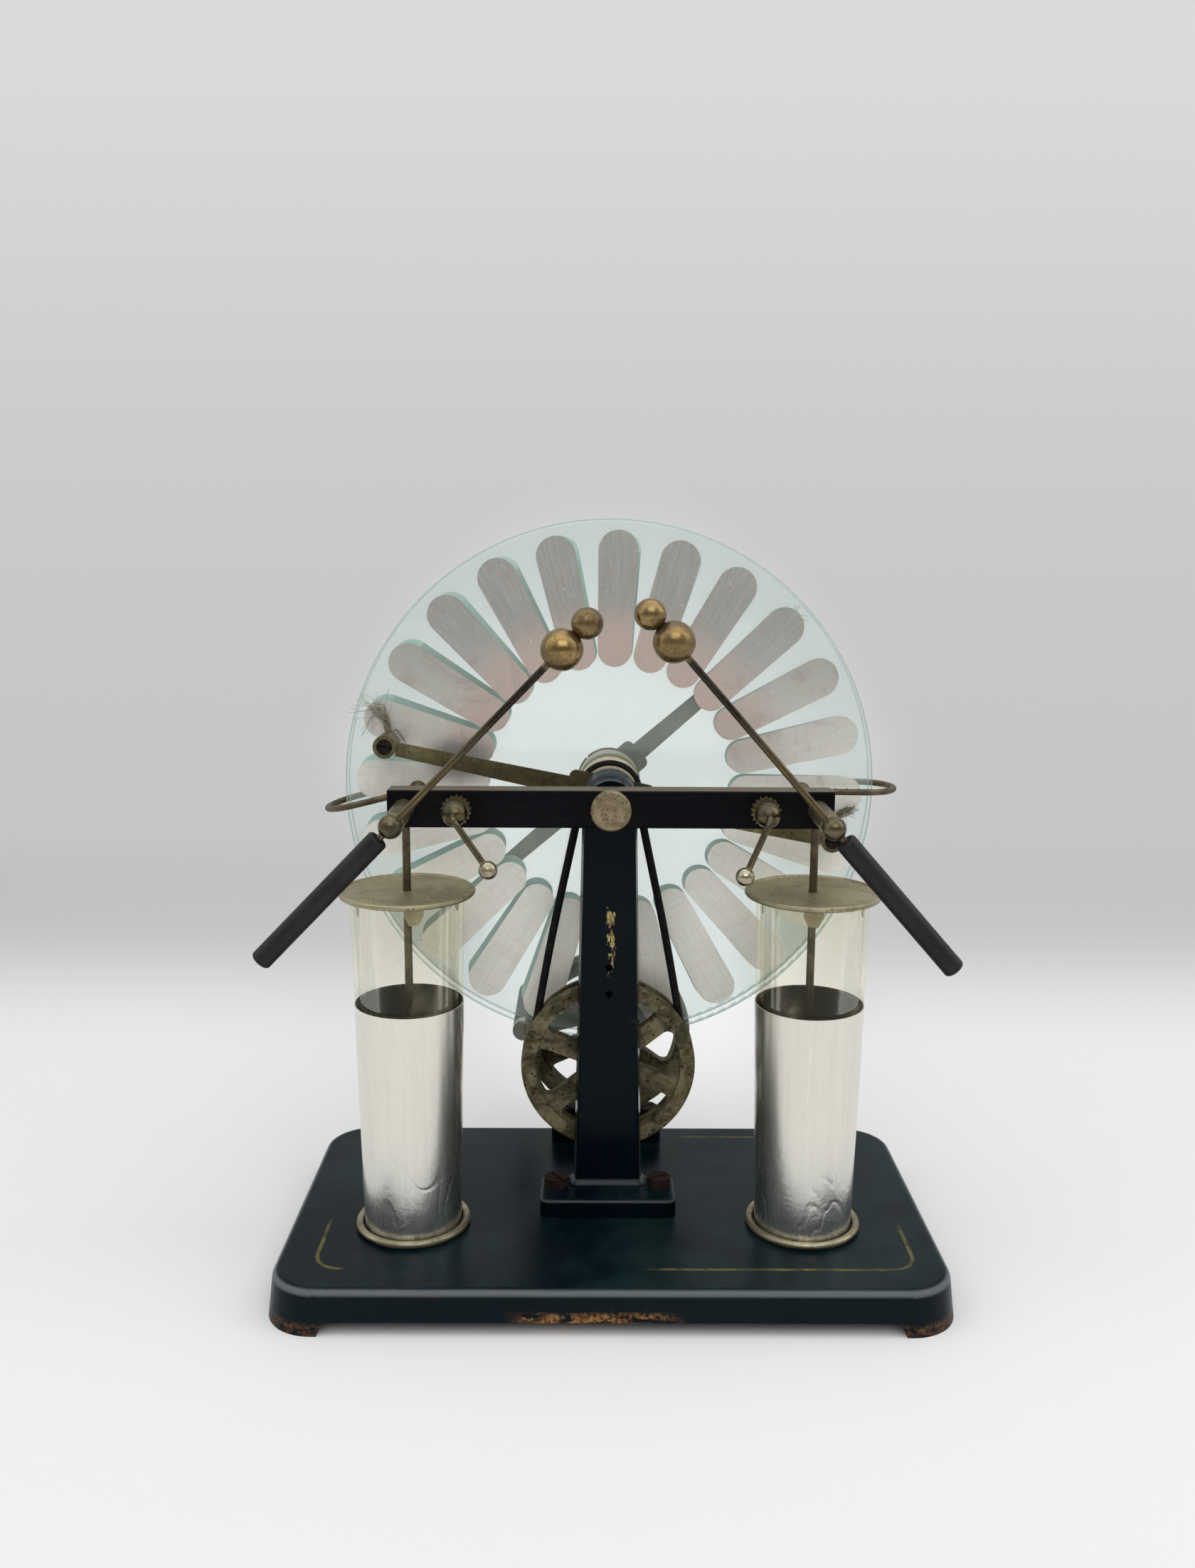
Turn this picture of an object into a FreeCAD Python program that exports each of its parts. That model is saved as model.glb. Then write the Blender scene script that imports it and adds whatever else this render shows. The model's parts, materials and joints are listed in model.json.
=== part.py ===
import FreeCAD, Part
import math
import os
import re
import Sketcher

# An influence machine of the two-disc kind: a cast base, two standards, two glass discs
# that turn opposite ways, two jars, a cross bar with the terminals, and a crank at the rear.
# X runs to the right, Y to the rear and Z up. The origin is on the table, below the middle
# of the gap between the discs.

Constraint = Sketcher.Constraint
Vector = FreeCAD.Vector

doc = FreeCAD.newDocument("wimshurst_machine")
sheet = doc.addObject("Spreadsheet::Sheet", "sizes")

SIZES = [
    # Base casting and its hollow underside
    ("base_length", 297, "base casting at the table, left to right"),
    ("base_shift", 1.2, "middle of the base from the centre line"),
    ("base_depth", 165.3, "base casting at the table, front to rear"),
    ("base_front", -115.8, "front edge of the base"),
    ("base_draft", 2, "slope of the base's sides from table to top"),
    ("base_height", 20, "table to the top of the base"),
    ("base_corner", 22, "plan radius of the base's corners"),
    ("base_edge", 3.5, "rounding of the base's top edge"),
    ("base_wall", 6, "wall and top thickness of the casting"),
    ("foot_length", 24.4, "length of each corner foot"),
    ("apron_lift", 6.2, "gap under the apron between the feet"),
    ("apron_cove", 5.5, "rounding where the apron comes down to a foot"),
    # Axles and discs
    ("axle_height", 215, "table to the axis of the discs"),
    ("axle_radius", 4, "fixed axle"),
    ("axle_end", 41, "half length of the fixed axle"),
    ("disc_radius", 125, "glass disc"),
    ("disc_thickness", 3, "glass disc"),
    ("disc_gap", 5, "gap between the two discs"),
    ("disc_edge", 1.2, "rounding of the glass rim"),
    ("running_clearance", 0.05, "radial clearance of turning and fitted pieces"),
    # Foil sectors on the outer faces of the discs
    ("sector_count", 24, "sectors on each disc"),
    ("sector_thickness", 0.3, "foil sector"),
    ("sector_outer", 120, "outer end of a sector from the axis"),
    ("sector_inner", 57, "inner end of a sector from the axis"),
    ("sector_outer_radius", 9.2, "round at a sector's outer end"),
    ("sector_inner_radius", 7.9, "round at a sector's inner end"),
    ("front_sector_turn", 1.8, "rest angle of the front disc's sectors"),
    ("rear_sector_turn", 2.6, "rest angle of the rear disc's sectors"),
    # Hubs with their pulleys
    ("hub_boss_radius", 14.6, "cream boss against the glass"),
    ("hub_spigot_radius", 6, "spigot through the glass"),
    ("hub_nut_radius", 9, "flat nut on the inner face"),
    ("hub_nut_thickness", 1.8, "flat nut on the inner face"),
    ("hub_end", 22.7, "outer end of the hub from the middle"),
    ("hub_lip_radius", 12.9, "outer lip of the pulley"),
    ("hub_recess_radius", 11.6, "recess in the outer face of the pulley"),
    ("hub_recess_depth", 1.2, "recess in the outer face of the pulley"),
    # Belts and drive wheels
    ("wheel_plane", 20, "plane of each wheel and pulley from the middle"),
    ("belt_radius", 1.9, "round belt"),
    ("belt_on_pulley", 13.4, "belt centre from the disc axis"),
    ("belt_on_wheel", 40.2, "belt centre from the wheel axis"),
    ("groove_clearance", 0.25, "gap between a belt and its groove"),
    ("belt_cross_offset", 2.2, "half spacing of the crossed strands"),
    ("belt_pulley_lead", 10, "straight run before a strand leaves the pulley's plane"),
    ("belt_wheel_lead", 16, "straight run before a strand leaves the wheel's plane"),
    ("belt_joint_gap", 0.8, "gap where the rear belt's ends meet"),
    ("wheel_height", 84, "table to the axis of the wheels"),
    ("wheel_radius", 41.4, "drive wheel"),
    ("wheel_width", 12, "drive wheel's rim"),
    ("wheel_rim", 6.8, "radial thickness of the rim"),
    ("wheel_web", 6, "thickness of the spokes"),
    ("wheel_spokes", 6, "spokes of each wheel"),
    ("wheel_spoke_width", 8.6, "width of a spoke"),
    ("wheel_hub_radius", 9.5, "wheel's hub"),
    ("wheel_fillet", 3.6, "rounding where spokes meet the rim"),
    ("wheel_window_round", 2.6, "inner end of the windows between the spokes"),
    ("front_wheel_turn", 21.5, "rest angle of the front wheel's spokes"),
    ("rear_wheel_turn", 36, "rest angle of the rear wheel's spokes"),
    # Standards
    ("column_near", 27, "inner face of each column from the middle"),
    ("column_thickness", 9, "column, front to rear"),
    ("column_top_width", 22.5, "column's outer face at the axle"),
    ("column_foot_width", 30, "column's outer face at the foot"),
    ("column_draft", 2.4, "extra width of the column's inner face"),
    ("column_edge", 1.6, "rounding of the column's edges"),
    ("head_radius", 10.6, "boss that carries the axle"),
    ("head_end", 50, "outer face of the front head from the middle"),
    ("rear_head_end", 42, "outer face of the rear head from the middle"),
    ("spigot_radius", 5.6, "spigot that the neutralizer turns on"),
    ("spigot_end", 23, "inner end of the spigot from the middle"),
    ("flange_width", 63.2, "front foot flange, left to right"),
    ("flange_front", -52.3, "front edge of the front flange"),
    ("foot_cove", 3.5, "rounding where the front column meets its flange"),
    ("flange_thickness", 8.6, "front foot flange"),
    ("flange_corner", 4, "plan radius of the flange's corners"),
    ("rear_flange_width", 57, "rear foot block, left to right"),
    ("rear_flange_front", 26.8, "front edge of the rear foot block"),
    ("rear_flange_rear", 41.5, "rear edge of the rear foot block"),
    ("rear_flange_thickness", 13, "rear foot block"),
    ("foot_screw_spread", 24.3, "front foot screws from the centre line"),
    ("foot_screw_place", -37, "front foot screws from the middle"),
    ("rear_screw_spread", 21.5, "rear foot screws from the centre line"),
    ("rear_screw_place", 34, "rear foot screws from the middle"),
    ("screw_head_radius", 5.4, "foot screw's cheese head"),
    ("screw_head_height", 4.8, "foot screw's cheese head"),
    ("screw_shank_radius", 2.5, "foot screw's shank"),
    ("screw_reach", 5, "length of the shank in the base"),
    ("screw_slot_width", 1.2, "slot of a screw head"),
    ("screw_slot_depth", 1.5, "slot of a foot screw's head"),
    ("tapped_hole_radius", 1.9, "tapped holes in the front column"),
    ("tapped_hole_depth", 6, "tapped holes in the front column"),
    ("upper_hole_height", 135.6, "upper tapped hole"),
    ("lower_hole_height", 122.7, "lower tapped hole"),
    # Cross bar and its clamp screw
    ("bar_length", 193.5, "insulating bar, left to right"),
    ("bar_height", 16.4, "insulating bar"),
    ("bar_thickness", 12, "insulating bar"),
    ("bar_edge", 0.5, "bevel of the bar's edges"),
    ("clamp_head_radius", 8.75, "knob of the clamp screw"),
    ("clamp_head_height", 4.5, "knob of the clamp screw"),
    ("clamp_shank_radius", 3, "shank of the clamp screw"),
    # Terminals on the bar
    ("post_place", 89.5, "posts, jars and rods from the centre line"),
    ("post_radius", 4.5, "boss of an electrode post"),
    ("post_neck_radius", 3.4, "groove behind the ball"),
    ("stud_radius", 2.5, "stud through the bar"),
    ("pivot_pin_radius", 2, "pin that the electrode turns on"),
    ("pivot_ball_radius", 5, "ball at the electrode's pivot"),
    ("pivot_place", -100, "centre of the pivot ball"),
    ("arm_place", 66.5, "contact arms from the centre line"),
    ("collar_radius", 6.5, "scalloped collar of a contact arm"),
    ("collar_thickness", 4.5, "scalloped collar of a contact arm"),
    ("collar_notches", 18, "scallops round the collar"),
    ("collar_notch_radius", 0.8, "scallops round the collar"),
    ("knob_ball_radius", 5.5, "knob ball of a contact arm"),
    ("arm_wire_radius", 1.35, "wire of a contact arm"),
    ("arm_bend_radius", 4, "bend of the wire"),
    ("arm_reach", 26.5, "knob centre to end ball"),
    ("arm_stand_off", 10.5, "end ball in front of the knob centre"),
    ("arm_ball_radius", 4, "end ball of a contact arm"),
    ("left_arm_drop", 56, "left contact arm below the horizontal"),
    ("right_arm_drop", 113, "right contact arm, turned from the right"),
    # Electrodes
    ("rod_radius", 1.5, "electrode rod"),
    ("large_ball_radius", 8.5, "large discharge ball"),
    ("small_ball_radius", 6.4, "small discharge ball"),
    ("ball_step", 14.3, "centre of a rod's large ball to its small ball"),
    ("spark_gap", 12.3, "gap between the two small balls"),
    ("left_elevation", 46, "left rod above the horizontal"),
    ("right_elevation", 48.7, "right rod above the horizontal"),
    ("handle_radius", 4.5, "insulating handle"),
    ("handle_start", 6.8, "pivot to the handle's near end"),
    ("handle_reach", 78.6, "pivot to the handle's far end"),
    ("handle_edge", 1.2, "rounding of the handle's ends"),
    ("handle_thread", 22, "pivot to the end of the threaded neck"),
    # Collector forks
    ("fork_wire_radius", 1.5, "collector fork"),
    ("fork_leg", 15, "fork legs from the middle"),
    ("fork_reach", 46.1, "stud to the fork's outer bend"),
    ("fork_ball_radius", 4.4, "ball that clamps the fork on its stud"),
    ("fork_pin_radius", 0.5, "collector points"),
    ("fork_pin_gap", 1.2, "collector points to the sectors"),
    ("fork_pins", 5, "collector points on each leg"),
    ("fork_pin_spacing", 5.5, "spacing of the points"),
    ("left_fork_droop", 14, "left fork, outer end down"),
    ("right_fork_droop", 0.5, "right fork, outer end down"),
    # Neutralizers
    ("strip_thickness", 1, "neutralizer's flat bar"),
    ("strip_plane", 24, "middle of the flat bar from the middle"),
    ("strip_end_width", 6.4, "flat bar at its ends"),
    ("strip_root_width", 9, "flat bar beside the hub plate"),
    ("plate_width", 16, "hub plate"),
    ("plate_length", 40, "hub plate"),
    ("plate_corner", 3.2, "hub plate's round shoulders"),
    ("plate_hole_radius", 1.75, "small hole in the hub plate"),
    ("plate_hole_along", 7.8, "small hole from the axis, along the bar"),
    ("plate_hole_across", 4.7, "small hole from the axis, across the bar"),
    ("holder_reach", 105.3, "brush holders from the axis"),
    ("holder_radius", 5.3, "brush holder"),
    ("holder_near", 12, "inner end of a brush holder from the middle"),
    ("holder_far", 25.5, "outer end of a brush holder from the middle"),
    ("holder_recess_radius", 3.6, "recess for the screw"),
    ("holder_recess_depth", 2.2, "recess for the screw"),
    ("brush_screw_radius", 3.4, "screw in the brush holder"),
    ("brush_screw_thickness", 1.8, "screw in the brush holder"),
    ("brush_slot_depth", 0.8, "slot of the brush screw"),
    ("brush_radius", 2.2, "tuft of metal bristles at its root"),
    ("brush_tip_radius", 3, "tuft of metal bristles at the sectors"),
    ("brush_gap", 0.3, "bristles to the sectors"),
    ("front_tilt", 11.8, "front neutralizer, left end up"),
    ("rear_tilt", -41, "rear neutralizer, right end up"),
    # Jars
    ("jar_place", -56, "jars, lids and rods from the middle"),
    ("jar_foot_radius", 21.5, "jar at its foot"),
    ("jar_mouth_radius", 24.9, "jar at its mouth"),
    ("jar_height", 156, "jar"),
    ("jar_wall", 2, "glass wall of the jar"),
    ("jar_floor", 3, "glass floor of the jar"),
    ("coating_top", 106.5, "base to the top of the coatings"),
    ("coating_start", 1, "base to the foot of the outer coating"),
    ("coating_thickness", 0.4, "metal foil coating"),
    ("coating_clearance", 0.05, "foil to glass"),
    ("ring_radius", 24.3, "ring round the jar's foot, wire centre"),
    ("ring_wire_radius", 1.75, "ring round the jar's foot"),
    ("jar_rod_radius", 1.75, "rod from the bar into the jar"),
    ("jar_rod_end", 98, "base to the lower end of the rod"),
    ("jar_rod_depth", 5.6, "rod's seat in the bar"),
    ("leaf_width", 4, "contact leaf in the jar"),
    ("leaf_thickness", 0.5, "contact leaf in the jar"),
    # Lids
    ("lid_radius", 30, "lid over its rolled rim"),
    ("lid_thickness", 1.2, "lid"),
    ("lid_rim_radius", 1.3, "rolled rim of the lid"),
    ("lid_gap", 0.3, "glass to lid"),
    ("lid_hole_clearance", 0.3, "rod to lid"),
    ("tab_count", 4, "tabs under the lid"),
    ("tab_width", 8.4, "tabs under the lid"),
    ("tab_length", 9, "tabs under the lid"),
    ("tab_clearance", 0.6, "tab to glass"),
    ("left_lid_turn", 15, "rest angle of the left lid's tabs"),
    ("right_lid_turn", -8, "rest angle of the right lid's tabs"),
    # Shaft and crank
    ("shaft_radius", 4, "drive shaft"),
    ("shaft_depth", 6, "shaft's seat in the front column"),
    ("crank_plane", 50, "near face of the crank arm"),
    ("crank_thickness", 6, "crank arm"),
    ("crank_hub_radius", 7.5, "crank arm at the shaft"),
    ("crank_end_radius", 5.5, "crank arm at the grip"),
    ("crank_width", 9, "crank arm"),
    ("crank_reach", 45.8, "shaft to grip"),
    ("crank_turn", 166, "rest angle of the crank arm"),
    ("crank_seat_radius", 3.2, "end of the shaft in the crank arm"),
    ("grip_radius", 5.6, "wooden grip"),
    ("grip_start", 57.2, "near end of the grip"),
    ("grip_end", 115.5, "far end of the grip"),
    ("grip_edge", 2, "rounding of the grip's far end"),
    ("grip_pin_radius", 2.5, "pin inside the grip"),
    ("grip_pin_end", 108, "far end of the pin"),
]

NAMES = {name for name, value, note in SIZES}
for line, (name, value, note) in enumerate(SIZES, start=1):
    sheet.set(f"A{line}", note)
    sheet.set(f"B{line}", str(value))
    sheet.setAlias(f"B{line}", name)
doc.recompute()


def cells(formula):
    """Point every size named in a formula at its cell in the sheet."""
    return re.sub(r"[a-z_]+", lambda word: f"sizes.{word[0]}" if word[0] in NAMES else word[0], formula)


def size(name):
    return float(sheet.get(name))


def bind(thing, **formulas):
    for name, formula in formulas.items():
        thing.setExpression(name, cells(formula))


def place(thing, x="0", y="0", z="0", axis=(0, 0, 1), turn="0"):
    """Seat a piece at (x, y, z), turned about an axis through that point."""
    thing.Placement = FreeCAD.Placement(Vector(), FreeCAD.Rotation(Vector(*axis), 1))
    for coordinate, formula in (("x", x), ("y", y), ("z", z)):
        thing.setExpression(f"Placement.Base.{coordinate}", cells(formula))
    thing.setExpression("Placement.Rotation.Angle", cells(turn))


PIECES = []


def piece(thing, label):
    """Mark an object as one finished piece, which gets its own file."""
    thing.Label = label
    PIECES.append(thing)
    return thing


# Helpers for bodies and sketches

def new_body(label):
    return piece(doc.addObject("PartDesign::Body", label), label)


def origin_feature(body, role):
    return next(feature for feature in body.Origin.OriginFeatures if feature.Role == role)


def new_sketch(body, plane, offset="0"):
    """Sketch on an origin plane, moved along the plane's normal. XZ_Plane's normal is -Y."""
    sketch = body.newObject("Sketcher::SketchObject", "sketch")
    sketch.AttachmentSupport = [(origin_feature(body, plane), "")]
    sketch.MapMode = "FlatFace"
    sketch.setExpression("AttachmentOffset.Base.z", cells(offset))
    return sketch


def fix_point(sketch, geometry, position, x, y):
    """Hold a point of the sketch at two formulas measured from the sketch's origin."""
    start = sketch.getPoint(geometry, position)
    for kind, value, formula in (("DistanceX", start.x, x), ("DistanceY", start.y, y)):
        number = sketch.addConstraint(Constraint(kind, -1, 1, geometry, position, value))
        sketch.setExpression(f"Constraints[{number}]", cells(formula))


def draw_outline(sketch, corners):
    """Closed outline of straight edges through corners given as pairs of formulas."""
    count = len(corners)
    first = sketch.GeometryCount
    step = 2 * math.pi / count
    seeds = [Vector(math.cos(k * step), math.sin(k * step), 0) for k in range(count)]
    for k in range(count):
        sketch.addGeometry(Part.LineSegment(seeds[k], seeds[(k + 1) % count]), False)
    for k in range(count):
        sketch.addConstraint(Constraint("Coincident", first + k, 2, first + (k + 1) % count, 1))
    for k, (x, y) in enumerate(corners):
        fix_point(sketch, first + k, 1, x, y)


def draw_circle(sketch, radius, x="0", y="0"):
    number = sketch.addGeometry(Part.Circle(Vector(1, 1, 0), Vector(0, 0, 1), 1), False)
    fix_point(sketch, number, 3, x, y)
    rule = sketch.addConstraint(Constraint("Radius", number, 1.0))
    sketch.setExpression(f"Constraints[{rule}]", cells(radius))


def pad(body, sketch, length):
    feature = body.newObject("PartDesign::Pad", "pad")
    feature.Profile = sketch
    bind(feature, Length=length)
    return feature


def pocket(body, sketch, length, reverse=False):
    """Cut against the sketch's normal, or along it when reversed."""
    feature = body.newObject("PartDesign::Pocket", "pocket")
    feature.Profile = sketch
    feature.Reversed = reverse
    bind(feature, Length=length)
    return feature


def revolve(body, sketch, kind="PartDesign::Revolution"):
    feature = body.newObject(kind, "turning")
    feature.Profile = sketch
    feature.ReferenceAxis = (origin_feature(body, "Z_Axis"), [""])
    feature.Angle = 360
    return feature


def polar(body, feature, axis, count):
    pattern = body.newObject("PartDesign::PolarPattern", "pattern")
    pattern.Originals = [feature]
    pattern.Axis = (origin_feature(body, axis), [""])
    pattern.Angle = 360
    bind(pattern, Occurrences=count)
    body.Tip = pattern
    return pattern


def round_edges(body, radius, wanted, kind="PartDesign::Fillet"):
    """Fillet or bevel the edges of the body so far for which wanted(edge) is true."""
    doc.recompute()
    base = body.Tip
    names = [f"Edge{number}" for number, edge in enumerate(base.Shape.Edges, start=1) if wanted(edge)]
    feature = body.newObject(kind, "rounding")
    feature.Base = (base, names)
    bind(feature, **{"Radius" if kind.endswith("Fillet") else "Size": radius})
    return feature


def parallel(edge, direction):
    if not isinstance(edge.Curve, Part.Line):
        return False
    return abs(edge.Curve.Direction.dot(Vector(*direction))) > 0.999


def turned(label, profile):
    """Piece turned about its own Z: the profile is a list of (radius, height) formulas."""
    body = new_body(label)
    sketch = new_sketch(body, "XZ_Plane")
    draw_outline(sketch, profile)
    revolve(body, sketch)
    return body


REAR_FACING = {"axis": (1, 0, 0), "turn": "-90"}


def boss(body, radius, front, rear, x="0", z="0"):
    """Round boss along Y between two planes."""
    sketch = new_sketch(body, "XZ_Plane", f"-({rear})")
    draw_circle(sketch, radius, x, z)
    return pad(body, sketch, f"({rear}) - ({front})")


def bore(body, radius, front, rear, x="0", z="0"):
    """Round hole along Y between two planes."""
    sketch = new_sketch(body, "XZ_Plane", f"-({front})")
    draw_circle(sketch, radius, x, z)
    return pocket(body, sketch, f"({rear}) - ({front})")


# Helpers for primitives and booleans

def cylinder(radius, height, **where):
    solid = doc.addObject("Part::Cylinder", "cylinder")
    bind(solid, Radius=radius, Height=height)
    place(solid, **where)
    return solid


def sphere(radius, **where):
    solid = doc.addObject("Part::Sphere", "sphere")
    bind(solid, Radius=radius)
    place(solid, **where)
    return solid


def torus(radius, wire, sweep="360", **where):
    solid = doc.addObject("Part::Torus", "torus")
    bind(solid, Radius1=radius, Radius2=wire, Angle3=sweep)
    place(solid, **where)
    return solid


def box(length, width, height, **where):
    solid = doc.addObject("Part::Box", "box")
    bind(solid, Length=length, Width=width, Height=height)
    place(solid, **where)
    return solid


def fused(solids):
    result = doc.addObject("Part::MultiFuse", "fused")
    result.Shapes = solids
    return result


def cut(solid, tool):
    result = doc.addObject("Part::Cut", "cut")
    result.Base = solid
    result.Tool = tool
    return result


def grouped(solids):
    result = doc.addObject("Part::Compound", "group")
    result.Links = solids
    return result


LEFT, RIGHT = -1, 1
FRONT, REAR = -1, 1
SIDES = (("left", LEFT), ("right", RIGHT))
ENDS = (("front", FRONT), ("rear", REAR))


def base_casting():
    body = new_body("base_casting")
    middle = "base_front + base_depth / 2"

    def rectangle(sketch, half_x, half_y):
        left, right = f"base_shift - ({half_x})", f"base_shift + ({half_x})"
        front, rear = f"{middle} - ({half_y})", f"{middle} + ({half_y})"
        draw_outline(sketch, [(left, front), (right, front), (right, rear), (left, rear)])

    plan = new_sketch(body, "XY_Plane")
    rectangle(plan, "base_length / 2", "base_depth / 2")
    block = pad(body, plan, "base_height")
    bind(block, TaperAngle="-atan(base_draft / base_height)")
    hollow = new_sketch(body, "XY_Plane")
    rectangle(hollow, "base_length / 2 - base_wall", "base_depth / 2 - base_wall")
    pocket(body, hollow, "base_height - base_wall", reverse=True)
    top = size("base_height")
    round_edges(body, "base_corner - base_wall", lambda edge: parallel(edge, (0, 0, 1))
                and edge.BoundBox.ZMax < top - 0.01)
    round_edges(body, "base_corner", lambda edge: edge.BoundBox.ZLength > top - 0.01)
    round_edges(body, "base_edge", lambda edge: edge.BoundBox.ZMin > top - 0.01)
    for half_x, half_y in (("base_length / 2 - foot_length", "base_depth"),
                           ("base_length", "base_depth / 2 - foot_length")):
        arch = new_sketch(body, "XY_Plane")
        rectangle(arch, half_x, half_y)
        pocket(body, arch, "apron_lift", reverse=True)
    lift, wall = size("apron_lift"), size("base_wall")
    round_edges(body, "apron_cove", lambda edge: edge.Length < wall + 1 and edge.BoundBox.ZLength < 0.01
                and abs(edge.BoundBox.ZMax - lift) < 0.01)
    holes = new_sketch(body, "XY_Plane", "base_height")
    for spread, depth in (("foot_screw_spread", "foot_screw_place"),
                          ("rear_screw_spread", "rear_screw_place")):
        for side in (LEFT, RIGHT):
            draw_circle(holes, "screw_shank_radius + running_clearance", f"{side} * {spread}", depth)
    pocket(body, holes, "screw_reach")


def standard(end, towards):
    """Cast column on a foot: the front one also carries the bar and has two tapped holes."""
    body = new_body(f"{end}_standard")
    near = f"{towards} * column_near"
    far = f"{towards} * (column_near + column_thickness)"
    if towards == FRONT:
        width, foot_front, foot_rear = "flange_width", "flange_front", "-column_near"
        thickness, spread, depth = "flange_thickness", "foot_screw_spread", "foot_screw_place"
        head_end = "-head_end"
    else:
        width, foot_front, foot_rear = "rear_flange_width", "rear_flange_front", "rear_flange_rear"
        thickness, spread, depth = "rear_flange_thickness", "rear_screw_spread", "rear_screw_place"
        head_end = "rear_head_end"
    flange = new_sketch(body, "XY_Plane", "base_height")
    draw_outline(flange, [(f"-{width} / 2", foot_front), (f"{width} / 2", foot_front),
                          (f"{width} / 2", foot_rear), (f"-{width} / 2", foot_rear)])
    pad(body, flange, thickness)
    round_edges(body, "flange_corner", lambda edge: parallel(edge, (0, 0, 1)))
    flange_top = size("base_height") + size(thickness)
    round_edges(body, "column_edge", lambda edge: edge.BoundBox.ZMin > flange_top - 0.01)

    column = new_sketch(body, "XZ_Plane", f"-({far})")
    foot, top, radius = f"base_height + {thickness} - 2", "axle_height", "column_top_width / 2"
    corner = Vector(size("column_top_width") / 2, size(top), 0)
    left_corner = Vector(-corner.x, corner.y, 0)
    left_foot, right_foot = Vector(-15, flange_top - 2, 0), Vector(15, flange_top - 2, 0)
    crown = Part.Circle(Vector(0, corner.y, 0), Vector(0, 0, 1), corner.x)
    column.addGeometry(Part.ArcOfCircle(crown, 0, math.pi), False)
    for start, finish in ((left_corner, left_foot), (left_foot, right_foot), (right_foot, corner)):
        column.addGeometry(Part.LineSegment(start, finish), False)
    for first, second in ((0, 1), (1, 2), (2, 3), (3, 0)):
        column.addConstraint(Constraint("Coincident", first, 2, second, 1))
    fix_point(column, 0, 3, "0", top)
    rule = column.addConstraint(Constraint("Radius", 0, corner.x))
    column.setExpression(f"Constraints[{rule}]", cells(radius))
    for end_point in (1, 2):
        rule = column.addConstraint(Constraint("DistanceY", -1, 1, 0, end_point, corner.y))
        column.setExpression(f"Constraints[{rule}]", cells(top))
    fix_point(column, 1, 2, "-column_foot_width / 2", foot)
    fix_point(column, 2, 2, "column_foot_width / 2", foot)
    shaft = pad(body, column, "column_thickness")
    shaft.Reversed = towards == FRONT
    bind(shaft, TaperAngle="atan(column_draft / 2 / column_thickness)")
    doc.recompute()
    far_plane = towards * (size("column_near") + size("column_thickness"))

    def column_edge(edge):
        box = edge.BoundBox
        return box.YLength < 0.01 and abs(box.Center.y - far_plane) < 0.01 and box.ZMax > flange_top + 2
    round_edges(body, "column_edge", column_edge)
    if towards == FRONT:
        foot_edge = size("column_foot_width") / 2 + size("column_draft")

        def foot_corner(edge):
            box = edge.BoundBox
            return box.ZLength < 0.01 and abs(box.ZMax - flange_top) < 0.01 \
                and abs(box.Center.x) < foot_edge and box.Center.y > far_plane - 0.1
        round_edges(body, "foot_cove", foot_corner)

    inside = f"{towards} * (column_near + column_thickness - column_edge - 1)"
    spigot = f"{towards} * spigot_end"
    if towards == FRONT:
        boss(body, "head_radius", head_end, inside, z="axle_height")
        boss(body, "spigot_radius", f"{near} - 1", spigot, z="axle_height")
        bore(body, "axle_radius + running_clearance", "-axle_end", spigot, z="axle_height")
        bore(body, "clamp_shank_radius + running_clearance", head_end, "-axle_end", z="axle_height")
        bore(body, "shaft_radius + running_clearance", f"{near} - shaft_depth - 1", near, z="wheel_height")
        for height in ("upper_hole_height", "lower_hole_height"):
            bore(body, "tapped_hole_radius", far, f"{far} + tapped_hole_depth", z=height)
    else:
        boss(body, "head_radius", inside, head_end, z="axle_height")
        boss(body, "spigot_radius", spigot, f"{near} + 1", z="axle_height")
        bore(body, "axle_radius + running_clearance", spigot, "axle_end", z="axle_height")
        bore(body, "shaft_radius + running_clearance", near, far, z="wheel_height")
    screw_holes = new_sketch(body, "XY_Plane", f"base_height + {thickness}")
    for side in (LEFT, RIGHT):
        draw_circle(screw_holes, "screw_shank_radius + running_clearance", f"{side} * {spread}", depth)
    pocket(body, screw_holes, thickness)


def standard_screws():
    screws = []
    for spread, depth, thickness in (("foot_screw_spread", "foot_screw_place", "flange_thickness"),
                                     ("rear_screw_spread", "rear_screw_place", "rear_flange_thickness")):
        for side in (LEFT, RIGHT):
            head = cylinder("screw_head_radius", "screw_head_height")
            length = f"{thickness} + screw_reach"
            shank = cylinder("screw_shank_radius", length, z=f"-({length})")
            slot = box("2 * screw_head_radius", "screw_slot_width", "screw_slot_depth",
                       x="-screw_head_radius", y="-screw_slot_width / 2",
                       z="screw_head_height - screw_slot_depth")
            screw = cut(fused([head, shank]), slot)
            place(screw, f"{side} * {spread}", depth, f"base_height + {thickness}", turn=f"{45 * side} - 10")
            screws.append(screw)
    piece(grouped(screws), "standard_screws")


def fixed_axle():
    axle = turned("axle", [("0", "-axle_end"), ("axle_radius", "-axle_end"),
                           ("axle_radius", "axle_end"), ("0", "axle_end")])
    place(axle, z="axle_height", **REAR_FACING)


def glass_disc(end, towards):
    body = turned(f"{end}_disc", [("hub_spigot_radius + running_clearance", "0"), ("disc_radius", "0"),
                                  ("disc_radius", "disc_thickness"),
                                  ("hub_spigot_radius + running_clearance", "disc_thickness")])
    rim = size("disc_radius")
    round_edges(body, "disc_edge", lambda edge: edge.BoundBox.XLength > 2 * rim - 0.1)
    start = "disc_gap / 2" if towards == REAR else "-(disc_gap / 2 + disc_thickness)"
    place(body, y=start, z="axle_height", **REAR_FACING)


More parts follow.
